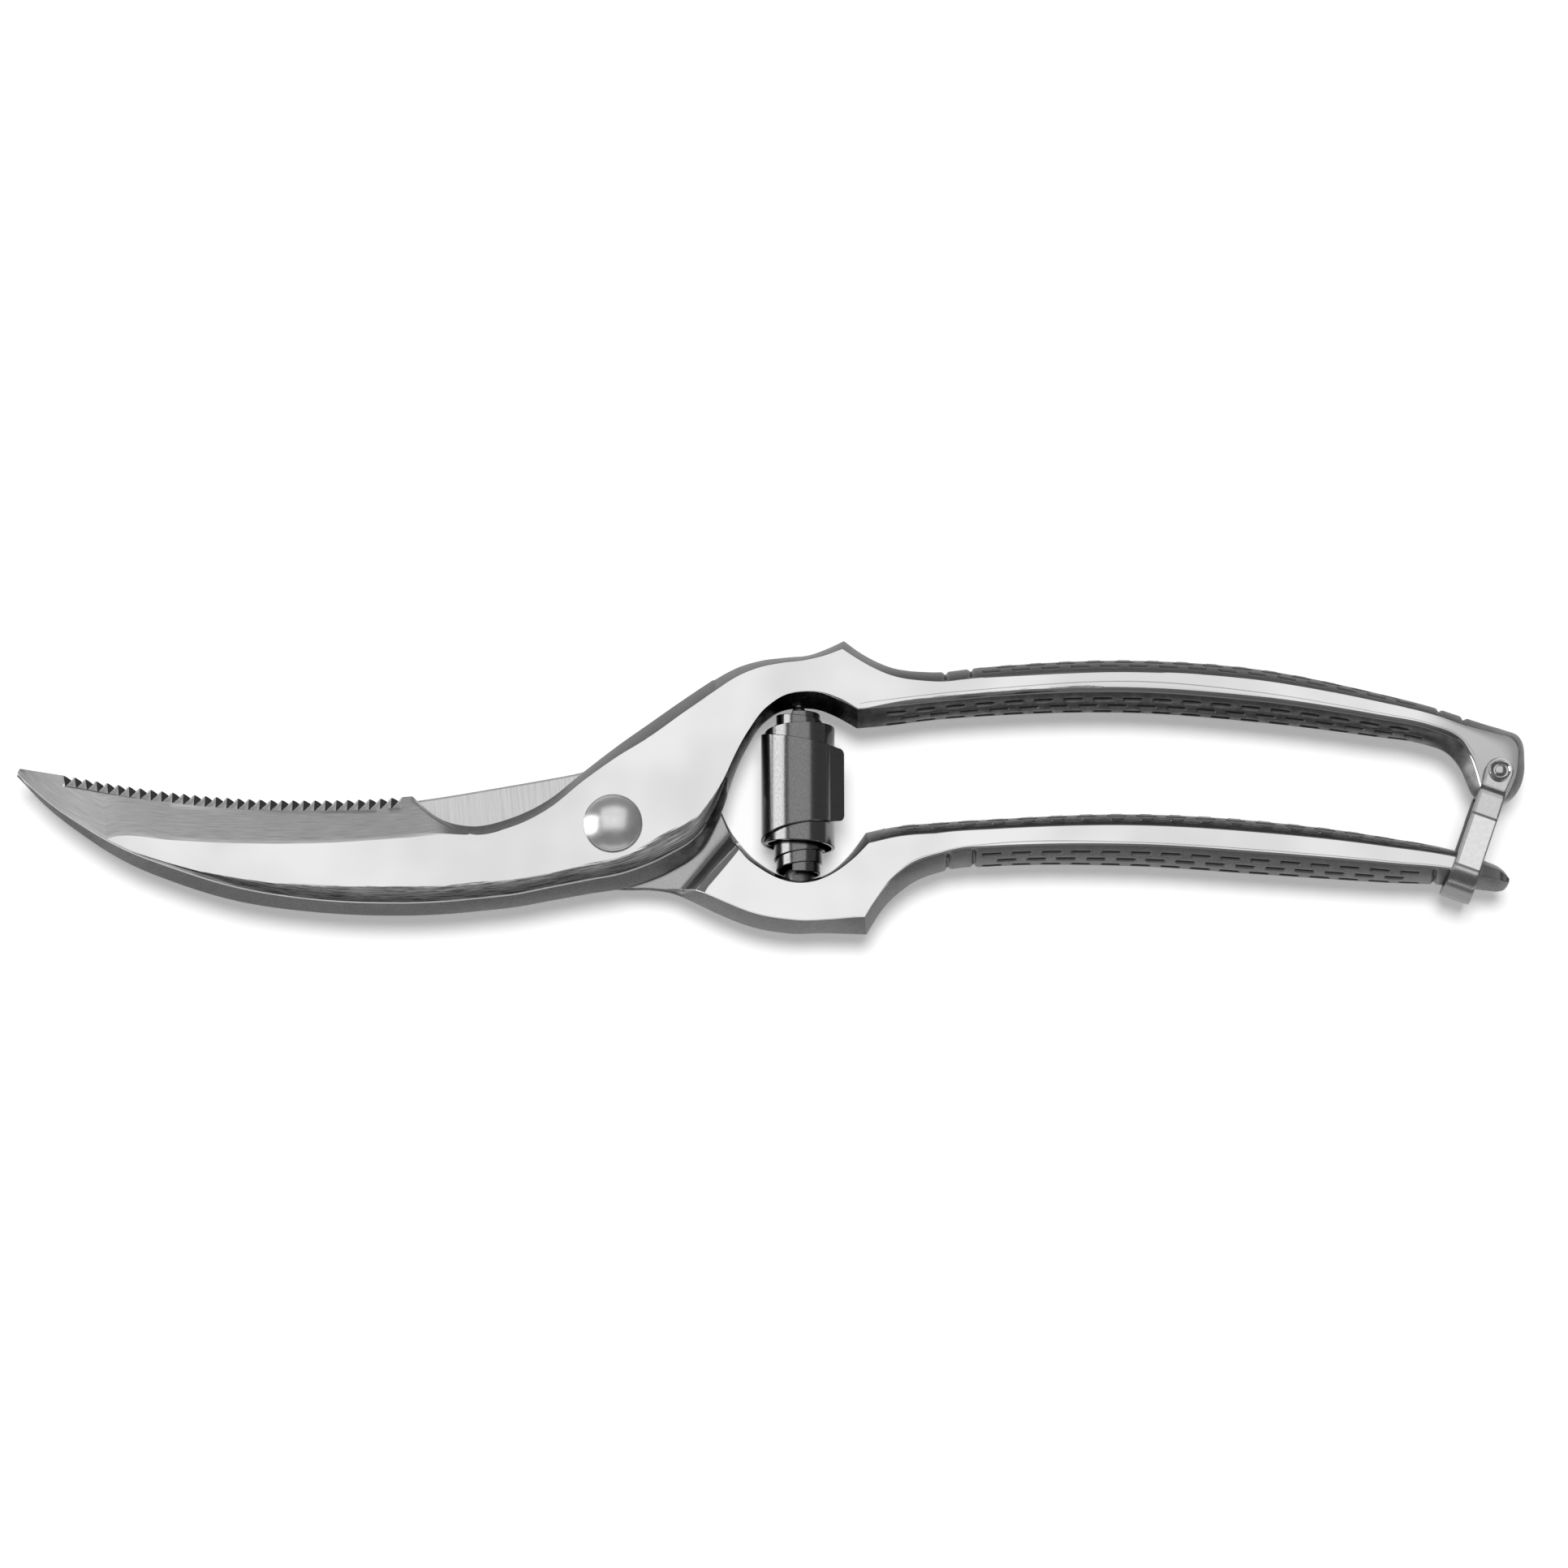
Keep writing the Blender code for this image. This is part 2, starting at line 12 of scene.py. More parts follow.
import bmesh
import bpy
import numpy as np
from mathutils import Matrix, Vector


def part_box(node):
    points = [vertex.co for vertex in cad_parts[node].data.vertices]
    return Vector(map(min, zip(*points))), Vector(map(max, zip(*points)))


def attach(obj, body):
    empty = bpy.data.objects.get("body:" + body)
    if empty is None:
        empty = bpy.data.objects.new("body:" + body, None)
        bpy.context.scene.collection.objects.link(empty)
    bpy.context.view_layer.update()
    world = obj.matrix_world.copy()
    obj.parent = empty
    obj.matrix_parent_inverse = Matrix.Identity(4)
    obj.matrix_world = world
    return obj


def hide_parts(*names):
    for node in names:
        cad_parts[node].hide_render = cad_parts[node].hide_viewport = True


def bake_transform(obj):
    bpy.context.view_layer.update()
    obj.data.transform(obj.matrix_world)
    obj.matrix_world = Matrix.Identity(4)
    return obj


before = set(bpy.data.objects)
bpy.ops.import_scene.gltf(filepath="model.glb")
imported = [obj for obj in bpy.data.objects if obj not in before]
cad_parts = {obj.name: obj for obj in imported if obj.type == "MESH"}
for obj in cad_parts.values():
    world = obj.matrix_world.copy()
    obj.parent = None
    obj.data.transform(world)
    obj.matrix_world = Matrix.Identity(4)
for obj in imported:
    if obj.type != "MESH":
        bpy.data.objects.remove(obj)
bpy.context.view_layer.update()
MM = 0.001

# %% [markdown]
# The heights that every piece shares are read from the model, not typed again: the flat top and
# bottom of the forgings come from the back half, and the lap where the two halves cross lies in
# the middle, with a small running gap. The pivot is at the origin. The rivet's place and the
# recess for nut and washer come from those pieces, so a hole can't miss what sits in it.

# %% Heights
def box_mm(node):
    low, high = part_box(node)
    return np.array(low) / MM, np.array(high) / MM


back_low, back_high = box_mm("back_blade_half")
BOTTOM, TOP = float(back_low[2]), float(back_high[2])
MIDDLE = (BOTTOM + TOP) / 2
LAP_HALF_GAP = 0.15
LAP_ABOVE, LAP_BELOW = MIDDLE + LAP_HALF_GAP, MIDDLE - LAP_HALF_GAP
rivet_low, rivet_top = box_mm("lock_rivet")
RIVET = (rivet_low[:2] + rivet_top[:2]) / 2
washer_low, washer_top = box_mm("pivot_washer")
PIVOT = (0, 0)
BORE, RIVET_HOLE = 3.2, 1.4  # radii
RECESS, RECESS_TOP = float(washer_top[0]) + 0.4, float(washer_top[2]) + 0.2
print(f"forgings from {BOTTOM:.2f} to {TOP:.2f} mm, lap at {MIDDLE:.2f} mm")

# %% [markdown]
# ## Writing shaders as sums
#
# A shader graph is easier to read as arithmetic. `Value` wraps one output socket and turns
# `a * b + 1` into Math nodes. `Graph.node` makes any other node: its settings first, then the
# values or links of its sockets. Colours and vectors go through Mix and Vector Math nodes,
# because a Math node would turn them grey.

# %% A socket with operators
class Value:
    """One number-valued socket of a shader graph."""

    def __init__(self, graph, socket):
        self.graph, self.socket = graph, socket

    def _math(self, operation, first, second):
        return self.graph.node("ShaderNodeMath", {"operation": operation}, {0: first, 1: second})

    def __add__(self, other): return self._math("ADD", self, other)
    def __radd__(self, other): return self._math("ADD", other, self)
    def __sub__(self, other): return self._math("SUBTRACT", self, other)
    def __rsub__(self, other): return self._math("SUBTRACT", other, self)
    def __mul__(self, other): return self._math("MULTIPLY", self, other)
    def __rmul__(self, other): return self._math("MULTIPLY", other, self)

    def clamp(self):
        return self.graph.node(
            "ShaderNodeMath", {"operation": "ADD", "use_clamp": True}, {0: self, 1: 0.0}
        )

    def step(self, low, high):
        """0 below low, 1 above high, smooth between."""
        return self.graph.node(
            "ShaderNodeMapRange", {"interpolation_type": "SMOOTHSTEP"},
            {"Value": self, "From Min": low, "From Max": high},
        )


class Graph:
    """The node tree of one material, with its Principled shader ready."""

    def __init__(self, name):
        self.material = bpy.data.materials.new(name)
        self.material.use_nodes = True
        self.tree = self.material.node_tree
        self.shader = self.tree.nodes["Principled BSDF"]

    def plug(self, socket, value):
        if isinstance(value, Value):
            self.tree.links.new(value.socket, socket)
        elif value is not None:
            socket.default_value = value

    def node(self, kind, settings=None, sockets=None, output=0):
        made = self.tree.nodes.new(kind)
        for name, setting in (settings or {}).items():
            setattr(made, name, setting)
        for name, value in (sockets or {}).items():
            self.plug(made.inputs[name], value)
        return Value(self, made.outputs[output])

    def attribute(self, name):
        """A mask that the mesh carries."""
        return self.node(
            "ShaderNodeAttribute", {"attribute_name": name, "attribute_type": "GEOMETRY"},
            output="Fac",
        )

    def place(self, stretch=(1, 1, 1), turn=0.0):
        """Object coordinates in mm, stretched so that a texture runs along the grind."""
        where = self.node("ShaderNodeTexCoord", output="Object")
        return self.node(
            "ShaderNodeMapping", {"vector_type": "TEXTURE"},
            {
                "Vector": where,
                "Rotation": (0.0, 0.0, turn),
                "Scale": tuple(MM * s for s in stretch),
            },
        )

    def pack(self, x, y):
        """Two numbers as one vector."""
        return self.node("ShaderNodeCombineXYZ", {}, {"X": x, "Y": y})

    def noise(self, vector, scale, detail=2.0, roughness=0.5):
        return self.node(
            "ShaderNodeTexNoise", {},
            {"Vector": vector, "Scale": scale, "Detail": detail, "Roughness": roughness},
        )

    def blend(self, amount, first, second):
        """Two colours mixed by a number."""
        return self.node(
            "ShaderNodeMix", {"data_type": "RGBA"}, {0: amount, 6: first, 7: second}, output=2
        )

    def finish(self, **sockets):
        for name, value in sockets.items():
            self.plug(self.shader.inputs[name.replace("_", " ")], value)
        return self.material

    def bump(self, height, strength, distance):
        return self.node(
            "ShaderNodeBump", {},
            {"Height": height, "Strength": strength, "Distance": distance * MM},
        )


print("shader helpers ready")

# %% [markdown]
# ## Forged steel
#
# Both halves are one stainless forging each, and the finish changes from face to face. The flats
# are mirror polished, the bevel behind the serration is ground lengthwise, the roll-off above
# the spine keeps long grind streaks, painted darker as shade that stands in for the dark
# surroundings the rounded edge reflects, and the side walls stay a matte, darker grey. Light and
# shade are also painted into the colour: painted shade inside the eye, in the slots, on the steep
# side of each tooth and over parts of the handle and paddle, and painted highlights along some
# edges and on the long side of each tooth. One material covers all of it: the mesh carries a mask
# for each kind of face, and the masks choose colour, roughness and how strong the fine scratches
# are. The scratches follow two more values of the mesh, the distance run along the forging and
# the distance over its section, so they bend with the blade.

# %% The forging's material
def grey(level):
    return (level, level, level, 1.0)


def forged_steel():
    g = Graph("forged steel")
    bevel, roll, wall = g.attribute("bevel"), g.attribute("roll"), g.attribute("wall")
    cross, inner_shade, painted_slot_shade = g.attribute("cross"), g.attribute("inner_shade"), g.attribute("painted_slot_shade")
    shade, painted_highlight, lap = g.attribute("shade"), g.attribute("painted_highlight"), g.attribute("lap")
    run, over, soft_painted_shade = g.attribute("run"), g.attribute("over"), g.attribute("soft_painted_shade")
    fine = g.noise(g.pack(run * 0.12, over * 2.6), 1.0, 5.0, 0.7)
    hair = g.noise(g.pack(run * 0.20, over * 6.0), 1.0, 4.0, 0.7)
    across = g.noise(g.place(stretch=(1, 30, 1), turn=0.10), 4.0, 3.0, 0.6)
    cloud = g.noise(g.place(), 0.05, 2.0, 0.5)
    pits = g.noise(g.place(), 2.6, 3.0, 0.6)
    blotch = g.noise(g.place(), 0.6, 3.0, 0.6)

    streaked = (roll + (fine - 0.5) * 0.6 * roll.step(0.0, 0.05)).step(0.04, 0.16)
    polished = g.blend(cloud.step(0.3, 0.7), grey(0.64), grey(0.76))
    ground = g.blend(hair.step(0.30, 0.70), grey(0.36), grey(0.56))
    # grind streaks of the roll-off, their darkness partly painted shade standing in for the dark
    # surroundings that the rounded edge reflects
    streaks_and_shade = g.blend(
        roll.step(0.1, 0.8), g.blend(hair.step(0.40, 0.60), grey(0.06), grey(0.22)),
        g.blend(hair.step(0.36, 0.62), grey(0.10), grey(0.46)),
    )
    cut = g.blend(across.step(0.25, 0.75), grey(0.52), grey(0.63))
    matte = g.blend((pits * 0.7 + blotch * 0.3).step(0.30, 0.70), grey(0.17), grey(0.22))
    # painted shade: near black for the walls inside the eye and along the handle, and for the end
    # wall of the paddle
    inner_shade_colour = g.blend(blotch.step(0.35, 0.65), grey(0.06), grey(0.14))
    colour = g.blend(streaked, polished, streaks_and_shade)
    colour = g.blend(bevel, colour, ground)
    colour = g.blend(cross, colour, cut)
    colour = g.blend(wall, colour, matte)
    colour = g.blend(inner_shade, colour, inner_shade_colour)
    colour = g.blend(lap, colour, g.blend(pits.step(0.3, 0.7), grey(0.36), grey(0.41)))
    # painted shade: a dark grey that fades in over the handle's roll-off, the paddle and the upper
    # outer wall
    colour = g.blend(soft_painted_shade, colour, grey(0.10))
    # painted highlights: bright lines at the spine's corner, the roll-off's rim and the shoulder,
    # and on the long side of each tooth
    colour = g.blend(painted_highlight, colour, grey(0.85))
    # painted shade: near black on the slot floors, on the steep side of each tooth and in thin
    # dark lines
    colour = g.blend((painted_slot_shade + shade).clamp(), colour, grey(0.02))

    rough = 0.08 + bevel * (0.26 + hair * 0.12) + streaked * 0.20 + cross * 0.26 + lap * 0.2
    rough = (rough + wall * (0.34 + pits * 0.10) - inner_shade * 0.22 + (shade + painted_slot_shade) * 0.5).clamp()
    scratches = hair * (bevel + streaked) + across * cross + pits * (wall * 0.35 + lap * 0.12)
    return g.finish(
        Base_Color=colour, Roughness=rough, Metallic=(1 - (shade + painted_slot_shade) * 1.2).clamp(),
        Specular_IOR_Level=0.0,
        Normal=g.bump(scratches, 0.4, 0.02),
    )


FORGED = forged_steel()
print("material:", FORGED.name)

# %% [markdown]
# ## Curves through ribs
#
# Each half is a loft: a set of ribs along the shears, each from the upper outline to the lower
# outline. A curve through the ribs gives the outline anywhere between them. A rib has a station,
# a number that grows along the piece, so that the same place can be asked for by the outline, by
# the bevel and by the teeth.

# %% Curve through stations
def curve(stations, values, corners, at):
    """A cubic through the values, smooth except at stations marked as corners."""
    stations, at = np.asarray(stations, float), np.asarray(at, float)
    values = np.asarray(values, float).reshape(len(stations), -1)
    spans = np.diff(stations)[:, None]
    slopes = np.diff(values, axis=0) / spans
    leave, arrive = slopes.copy(), slopes.copy()
    for i in range(1, len(stations) - 1):
        if corners[i]:
            continue
        before, after = spans[i - 1], spans[i]
        tangent = (slopes[i - 1] * after + slopes[i] * before) / (before + after)
        leave[i], arrive[i - 1] = tangent, tangent
    k = np.clip(np.searchsorted(stations, at, side="right") - 1, 0, len(stations) - 2)
    t = np.clip((at - stations[k]) / spans[k, 0], 0, 1)[:, None]
    span = spans[k]
    return (
        values[k] * (2 * t**3 - 3 * t**2 + 1) + leave[k] * span * (t**3 - 2 * t**2 + t)
        + values[k + 1] * (3 * t**2 - 2 * t**3) + arrive[k] * span * (t**3 - t**2)
    )


def smooth(x, low, high):
    t = np.clip((np.asarray(x, float) - low) / (high - low), 0, 1)
    return t * t * (3 - 2 * t)


print("curve at the middle of 0..1:", curve([0, 1], [0, 1], [0, 0], [0.5])[0, 0])

# %% [markdown]
# ## From rings to a mesh
#
# A loft is a grid of points: one column for each station, one row for each place round the
# section. Whole grids are worked out with numpy, which is far quicker than moving points one by
# one, and the masks for the material are grids of the same shape. A mask that marks a kind of
# face is stored on faces, so its border is as crisp as the mesh. The masks that a texture follows
# or that fade out are stored on points, so they change smoothly.

# %% Grid to mesh
ON_POINTS = ("roll", "run", "over", "soft_painted_shade", "painted_slot_shade")
SHARP = 25  # degrees between two faces that make a crisp edge


def add(name, data, place=(0, 0, 0)):
    thing = bpy.data.objects.new(name, data)
    bpy.context.scene.collection.objects.link(thing)
    thing.location = place
    return thing


def grid_object(name, points, masks=None, sharp=SHARP):
    """An object from a grid of points in mm: each column a closed ring, both ends capped."""
    columns, rows = points.shape[:2]
    index = np.arange(columns * rows).reshape(columns, rows)
    here, there = index[:-1], index[1:]
    faces = np.stack(
        [here, np.roll(here, -1, 1), np.roll(there, -1, 1), there], axis=-1
    ).reshape(-1, 4).tolist()
    faces += [index[0, ::-1].tolist(), index[-1].tolist()]
    mesh = bpy.data.meshes.new(name)
    mesh.from_pydata((points.reshape(-1, 3) * MM).tolist(), [], faces)
    for mask, values in (masks or {}).items():
        values = np.asarray(values, np.float32)
        if mask in ON_POINTS:
            layer = mesh.attributes.new(mask, "FLOAT", "POINT")
        else:
            layer = mesh.attributes.new(mask, "FLOAT", "FACE")
            caps = [values[0].mean(), values[-1].mean()]
            values = np.concatenate([values[:-1].reshape(-1), caps])
        layer.data.foreach_set("value", values.reshape(-1).astype(np.float32))
    thing = add(name, mesh)
    outward(thing)
    mesh.shade_smooth()
    mesh.set_sharp_from_angle(angle=math.radians(sharp))
    return thing


def outward(thing):
    """Turns a closed mesh's faces outwards."""
    bm = bmesh.new()
    bm.from_mesh(thing.data)
    bmesh.ops.recalc_face_normals(bm, faces=bm.faces)
    bm.to_mesh(thing.data)
    bm.free()


def wear(thing, material):
    thing.data.materials.clear()
    thing.data.materials.append(material)


print("masks on points:", ", ".join(ON_POINTS))

# %% [markdown]
# Holes are real holes. A Boolean subtracts a cylinder, and its result is kept as plain mesh at
# once, so the next cut starts from clean geometry and no hidden cutter stays in the scene.

# %% Cutting holes
def cut(thing, cutter):
    """Subtracts a cutter and keeps the result as plain mesh."""
    modifier = thing.modifiers.new("cut", "BOOLEAN")
    modifier.operation, modifier.solver, modifier.object = "DIFFERENCE", "EXACT", cutter
    graph = bpy.context.evaluated_depsgraph_get()
    made = bpy.data.meshes.new_from_object(thing.evaluated_get(graph))
    thing.modifiers.clear()
    old = thing.data
    thing.data = made
    bpy.data.meshes.remove(old)
    bpy.data.objects.remove(cutter)


def cylinder(radius, low, high, at=PIVOT, segments=64):
    """An upright cylinder, or a prism with fewer segments, from one height to another."""
    bm = bmesh.new()
    bmesh.ops.create_cone(
        bm, cap_ends=True, segments=segments, radius1=radius, radius2=radius, depth=high - low
    )
    bmesh.ops.translate(bm, vec=(*at, (low + high) / 2), verts=bm.verts)
    bmesh.ops.scale(bm, vec=(MM, MM, MM), verts=bm.verts)
    mesh = bpy.data.meshes.new("cutter")
    bm.to_mesh(mesh)
    bm.free()
    return add("cutter", mesh)


def drill(thing, *holes):
    """Cuts straight holes, each (radius, low, high, centre), and keeps the rims crisp."""
    for hole in holes:
        cut(thing, cylinder(*hole))
    thing.data.set_sharp_from_angle(angle=math.radians(SHARP))


print(f"bore {2 * BORE:.1f} mm, rivet hole {2 * RIVET_HOLE:.1f} mm, recess {2 * RECESS:.1f} mm")

# %% [markdown]
# ## The section of a forging
#
# Going round a section, the surface passes nine landmarks: the widest point of the upper wall,
# the wall's top edge twice (a small rounding), the bevel line, the end of the flat, the spine
# line, the widest point of the lower wall, and the two bottom edges. A part of the section lies
# between each landmark and the next, with its own number of rows, so the same rows of the grid
# stay on the same feature from tip to handle.

# %% Section landmarks
(UPPER_WALL, UPPER_ROUND, BEVEL, FLAT, ROLL,
 LOWER_WALL, LOWER_UNDER, UNDER, UPPER_UNDER) = range(9)
UPPER_SIDE, LOWER_SIDE = (UPPER_WALL, UPPER_UNDER), (LOWER_WALL, LOWER_UNDER)
ROWS = {
    UPPER_WALL: 22, UPPER_ROUND: 3, BEVEL: 8, FLAT: 8, ROLL: 10,
    LOWER_WALL: 22, LOWER_UNDER: 22, UNDER: 5, UPPER_UNDER: 22,
}
ring_part = np.concatenate([np.full(rows, part) for part, rows in ROWS.items()])
ring_t = np.concatenate([np.arange(rows) / rows for rows in ROWS.values()])


def section(landmarks, bulge):
    """Grid of (distance along the rib, height) from landmarks of shape (columns, 9, 2).

    bulge rounds the walls: how far each wall stands out of a straight line, per column.
    """
    following = np.roll(landmarks, -1, axis=1)
    start, end = landmarks[:, ring_part], following[:, ring_part]
    t = ring_t[None, :, None]
    flat = start + (end - start) * t
    way = end - start
    length = np.maximum(np.linalg.norm(way, axis=2, keepdims=True), 1e-6)
    normal = np.stack([-way[..., 1], way[..., 0]], axis=-1) / length
    walls = np.isin(ring_part, UPPER_SIDE + LOWER_SIDE)[None, :, None]
    return flat + normal * walls * bulge[:, None, None] * 4 * t * (1 - t)


print(len(ring_part), "points round a section")

# %% [markdown]
# ## The front half
#
# This forging carries the serrated blade, the bone notch, the visible side of the pivot and the
# upper handle with the flat end that holds the lock. Each rib below reads: station, upper
# outline, lower outline, width of the upper wall, distance of the bevel line from the upper
# outline, height of that line above the lap, distance of the flat's end and of the spine line
# from the lower outline, and U or L where that outline has a corner.

# %% Ribs of the front half
FULL = TOP - LAP_ABOVE
PADDLE = FULL - 1.25  # the flat end is ground down to sit between the ears of the lock
FRONT = [
    (-100.4, (-100.4, 10.2), (-100.9, 8.9), 0.3, 0.9, 1.0, 0.3, 0.3, ""),
    (-96.7, (-96.7, 9.6), (-96.0, 3.9), 1.9, 9.0, 1.8, 1.0, 1.0, ""),
    (-90.0, (-90.0, 8.5), (-87.5, -2.6), 2.1, 12.0, 2.5, 1.8, 1.8, ""),
    (-85.0, (-85.0, 7.6), (-83.0, -5.4), 2.1, 9.9, 3.1, 2.0, 1.9, ""),
    (-74.0, (-74.0, 6.0), (-73.3, -9.6), 2.1, 8.9, FULL, 2.6, 2.1, ""),
    (-63.0, (-63.0, 5.0), (-63.0, -12.7), 2.1, 8.4, FULL, 3.5, 2.0, ""),
    (-50.0, (-50.0, 4.7), (-50.0, -14.6), 2.1, 8.1, FULL, 4.2, 1.8, ""),
    (-38.0, (-38.0, 5.1), (-38.0, -15.2), 2.1, 7.8, FULL, 4.6, 1.8, ""),
    (-35.5, (-35.5, 5.3), (-35.5, -15.2), 2.1, 7.8, FULL, 4.5, 1.8, ""),
    (-34.0, (-34.0, 5.4), (-34.0, -15.2), 0.5, 7.8, FULL, 4.5, 1.8, "U"),
    (-30.4, (-30.4, 2.2), (-29.0, -15.0), 0.6, 4.2, FULL, 4.4, 1.8, ""),
    (-24.2, (-24.2, 0.2), (-22.4, -14.4), 1.9, 2.1, FULL, 4.4, 1.8, ""),
    (-17.6, (-17.6, 1.5), (-16.2, -13.7), 2.1, 2.2, FULL, 4.2, 1.8, ""),
    (-10.7, (-10.7, 5.0), (-9.3, -12.4), 2.1, 2.2, FULL, 4.3, 1.9, ""),
    (-5.2, (-5.2, 9.6), (-3.8, -11.4), 2.1, 2.2, FULL, 4.6, 2.0, ""),
    (0.3, (0.3, 14.0), (2.4, -10.3), 2.4, 2.5, FULL, 4.9, 2.2, ""),
    (5.9, (5.9, 18.1), (9.3, -7.6), 2.8, 2.9, FULL, 6.2, 2.4, ""),
    (11.4, (11.4, 22.1), (15.2, -3.2), 2.7, 2.8, FULL, 5.2, 2.3, ""),
    (16.6, (16.6, 25.7), (19.2, 5.6), 2.6, 2.7, FULL, 2.9, 2.2, ""),
    (16.9, (16.9, 25.9), (19.3, 6.0), 2.6, 2.7, FULL, 2.8, 2.2, ""),
    (20.6, (20.6, 28.0), (20.6, 10.0), 2.4, 2.5, FULL, 2.4, 2.1, ""),
    (24.7, (24.7, 29.3), (22.4, 14.0), 2.1, 2.2, FULL, 2.3, 2.1, ""),
    (29.3, (29.3, 29.9), (25.2, 18.3), 1.9, 2.0, FULL, 2.3, 2.1, ""),
    (33.0, (33.0, 30.3), (28.9, 20.6), 1.9, 2.0, FULL, 2.3, 2.1, ""),
    (36.0, (36.0, 31.4), (33.6, 20.8), 2.1, 2.2, FULL, 2.3, 2.1, ""),
    (38.9, (38.9, 32.8), (37.2, 19.6), 2.3, 2.4, FULL, 2.6, 2.2, "U"),
    (41.7, (41.7, 30.7), (41.1, 17.4), 2.2, 2.3, FULL, 3.4, 2.4, "L"),
    (46.4, (46.4, 28.3), (46.4, 17.9), 2.2, 2.3, FULL, 3.7, 2.4, ""),
    (53.4, (53.4, 27.3), (53.4, 18.8), 2.4, 2.5, FULL, 3.7, 2.3, ""),
    (63.7, (63.7, 28.3), (63.7, 19.6), 2.8, 2.9, FULL, 3.9, 2.5, ""),
    (88.5, (88.5, 29.4), (88.5, 20.1), 3.0, 3.1, FULL, 4.7, 2.8, ""),
    (109.0, (109.0, 27.9), (108.8, 18.5), 2.8, 2.9, FULL, 4.4, 2.8, ""),
    (129.8, (129.8, 23.5), (128.4, 16.0), 2.4, 2.5, FULL, 3.4, 2.6, ""),
    (139.4, (139.4, 20.9), (136.7, 14.7), 2.0, 2.1, FULL - 0.3, 3.0, 2.4, ""),
    (147.6, (147.6, 18.1), (141.9, 12.2), 1.9, 2.0, FULL - 1.2, 3.0, 2.3, ""),
    (150.3, (150.8, 17.1), (143.2, 10.2), 1.8, 1.9, PADDLE, 2.8, 2.1, ""),
    (152.3, (153.0, 16.2), (143.9, 8.4), 1.6, 1.7, PADDLE, 2.5, 1.9, ""),
    (154.0, (153.9, 14.5), (144.3, 7.3), 1.5, 1.6, PADDLE, 2.2, 1.7, ""),
    (155.7, (153.99, 12.0), (144.6, 6.5), 1.6, 1.7, PADDLE, 1.9, 1.5, ""),
    (157.4, (153.8, 9.4), (145.0, 5.8), 1.7, 1.8, PADDLE, 1.7, 1.3, ""),
    (158.9, (153.0, 7.0), (145.6, 5.1), 1.7, 1.8, PADDLE, 1.4, 1.1, ""),
    (160.1, (151.6, 5.1), (146.6, 4.5), 1.1, 1.2, PADDLE, 1.0, 0.8, ""),
    (161.0, (150.2, 4.2), (148.0, 4.2), 0.3, 0.4, PADDLE, 0.5, 0.4, ""),
]
print(len(FRONT), "ribs from the tip to the end of the upper handle")

# %% [markdown]
# The back half's ribs read the same way. Its blade lies hidden and its height is worked out
# further down from the shoulder, so the height of the bevel line stays 0 here.

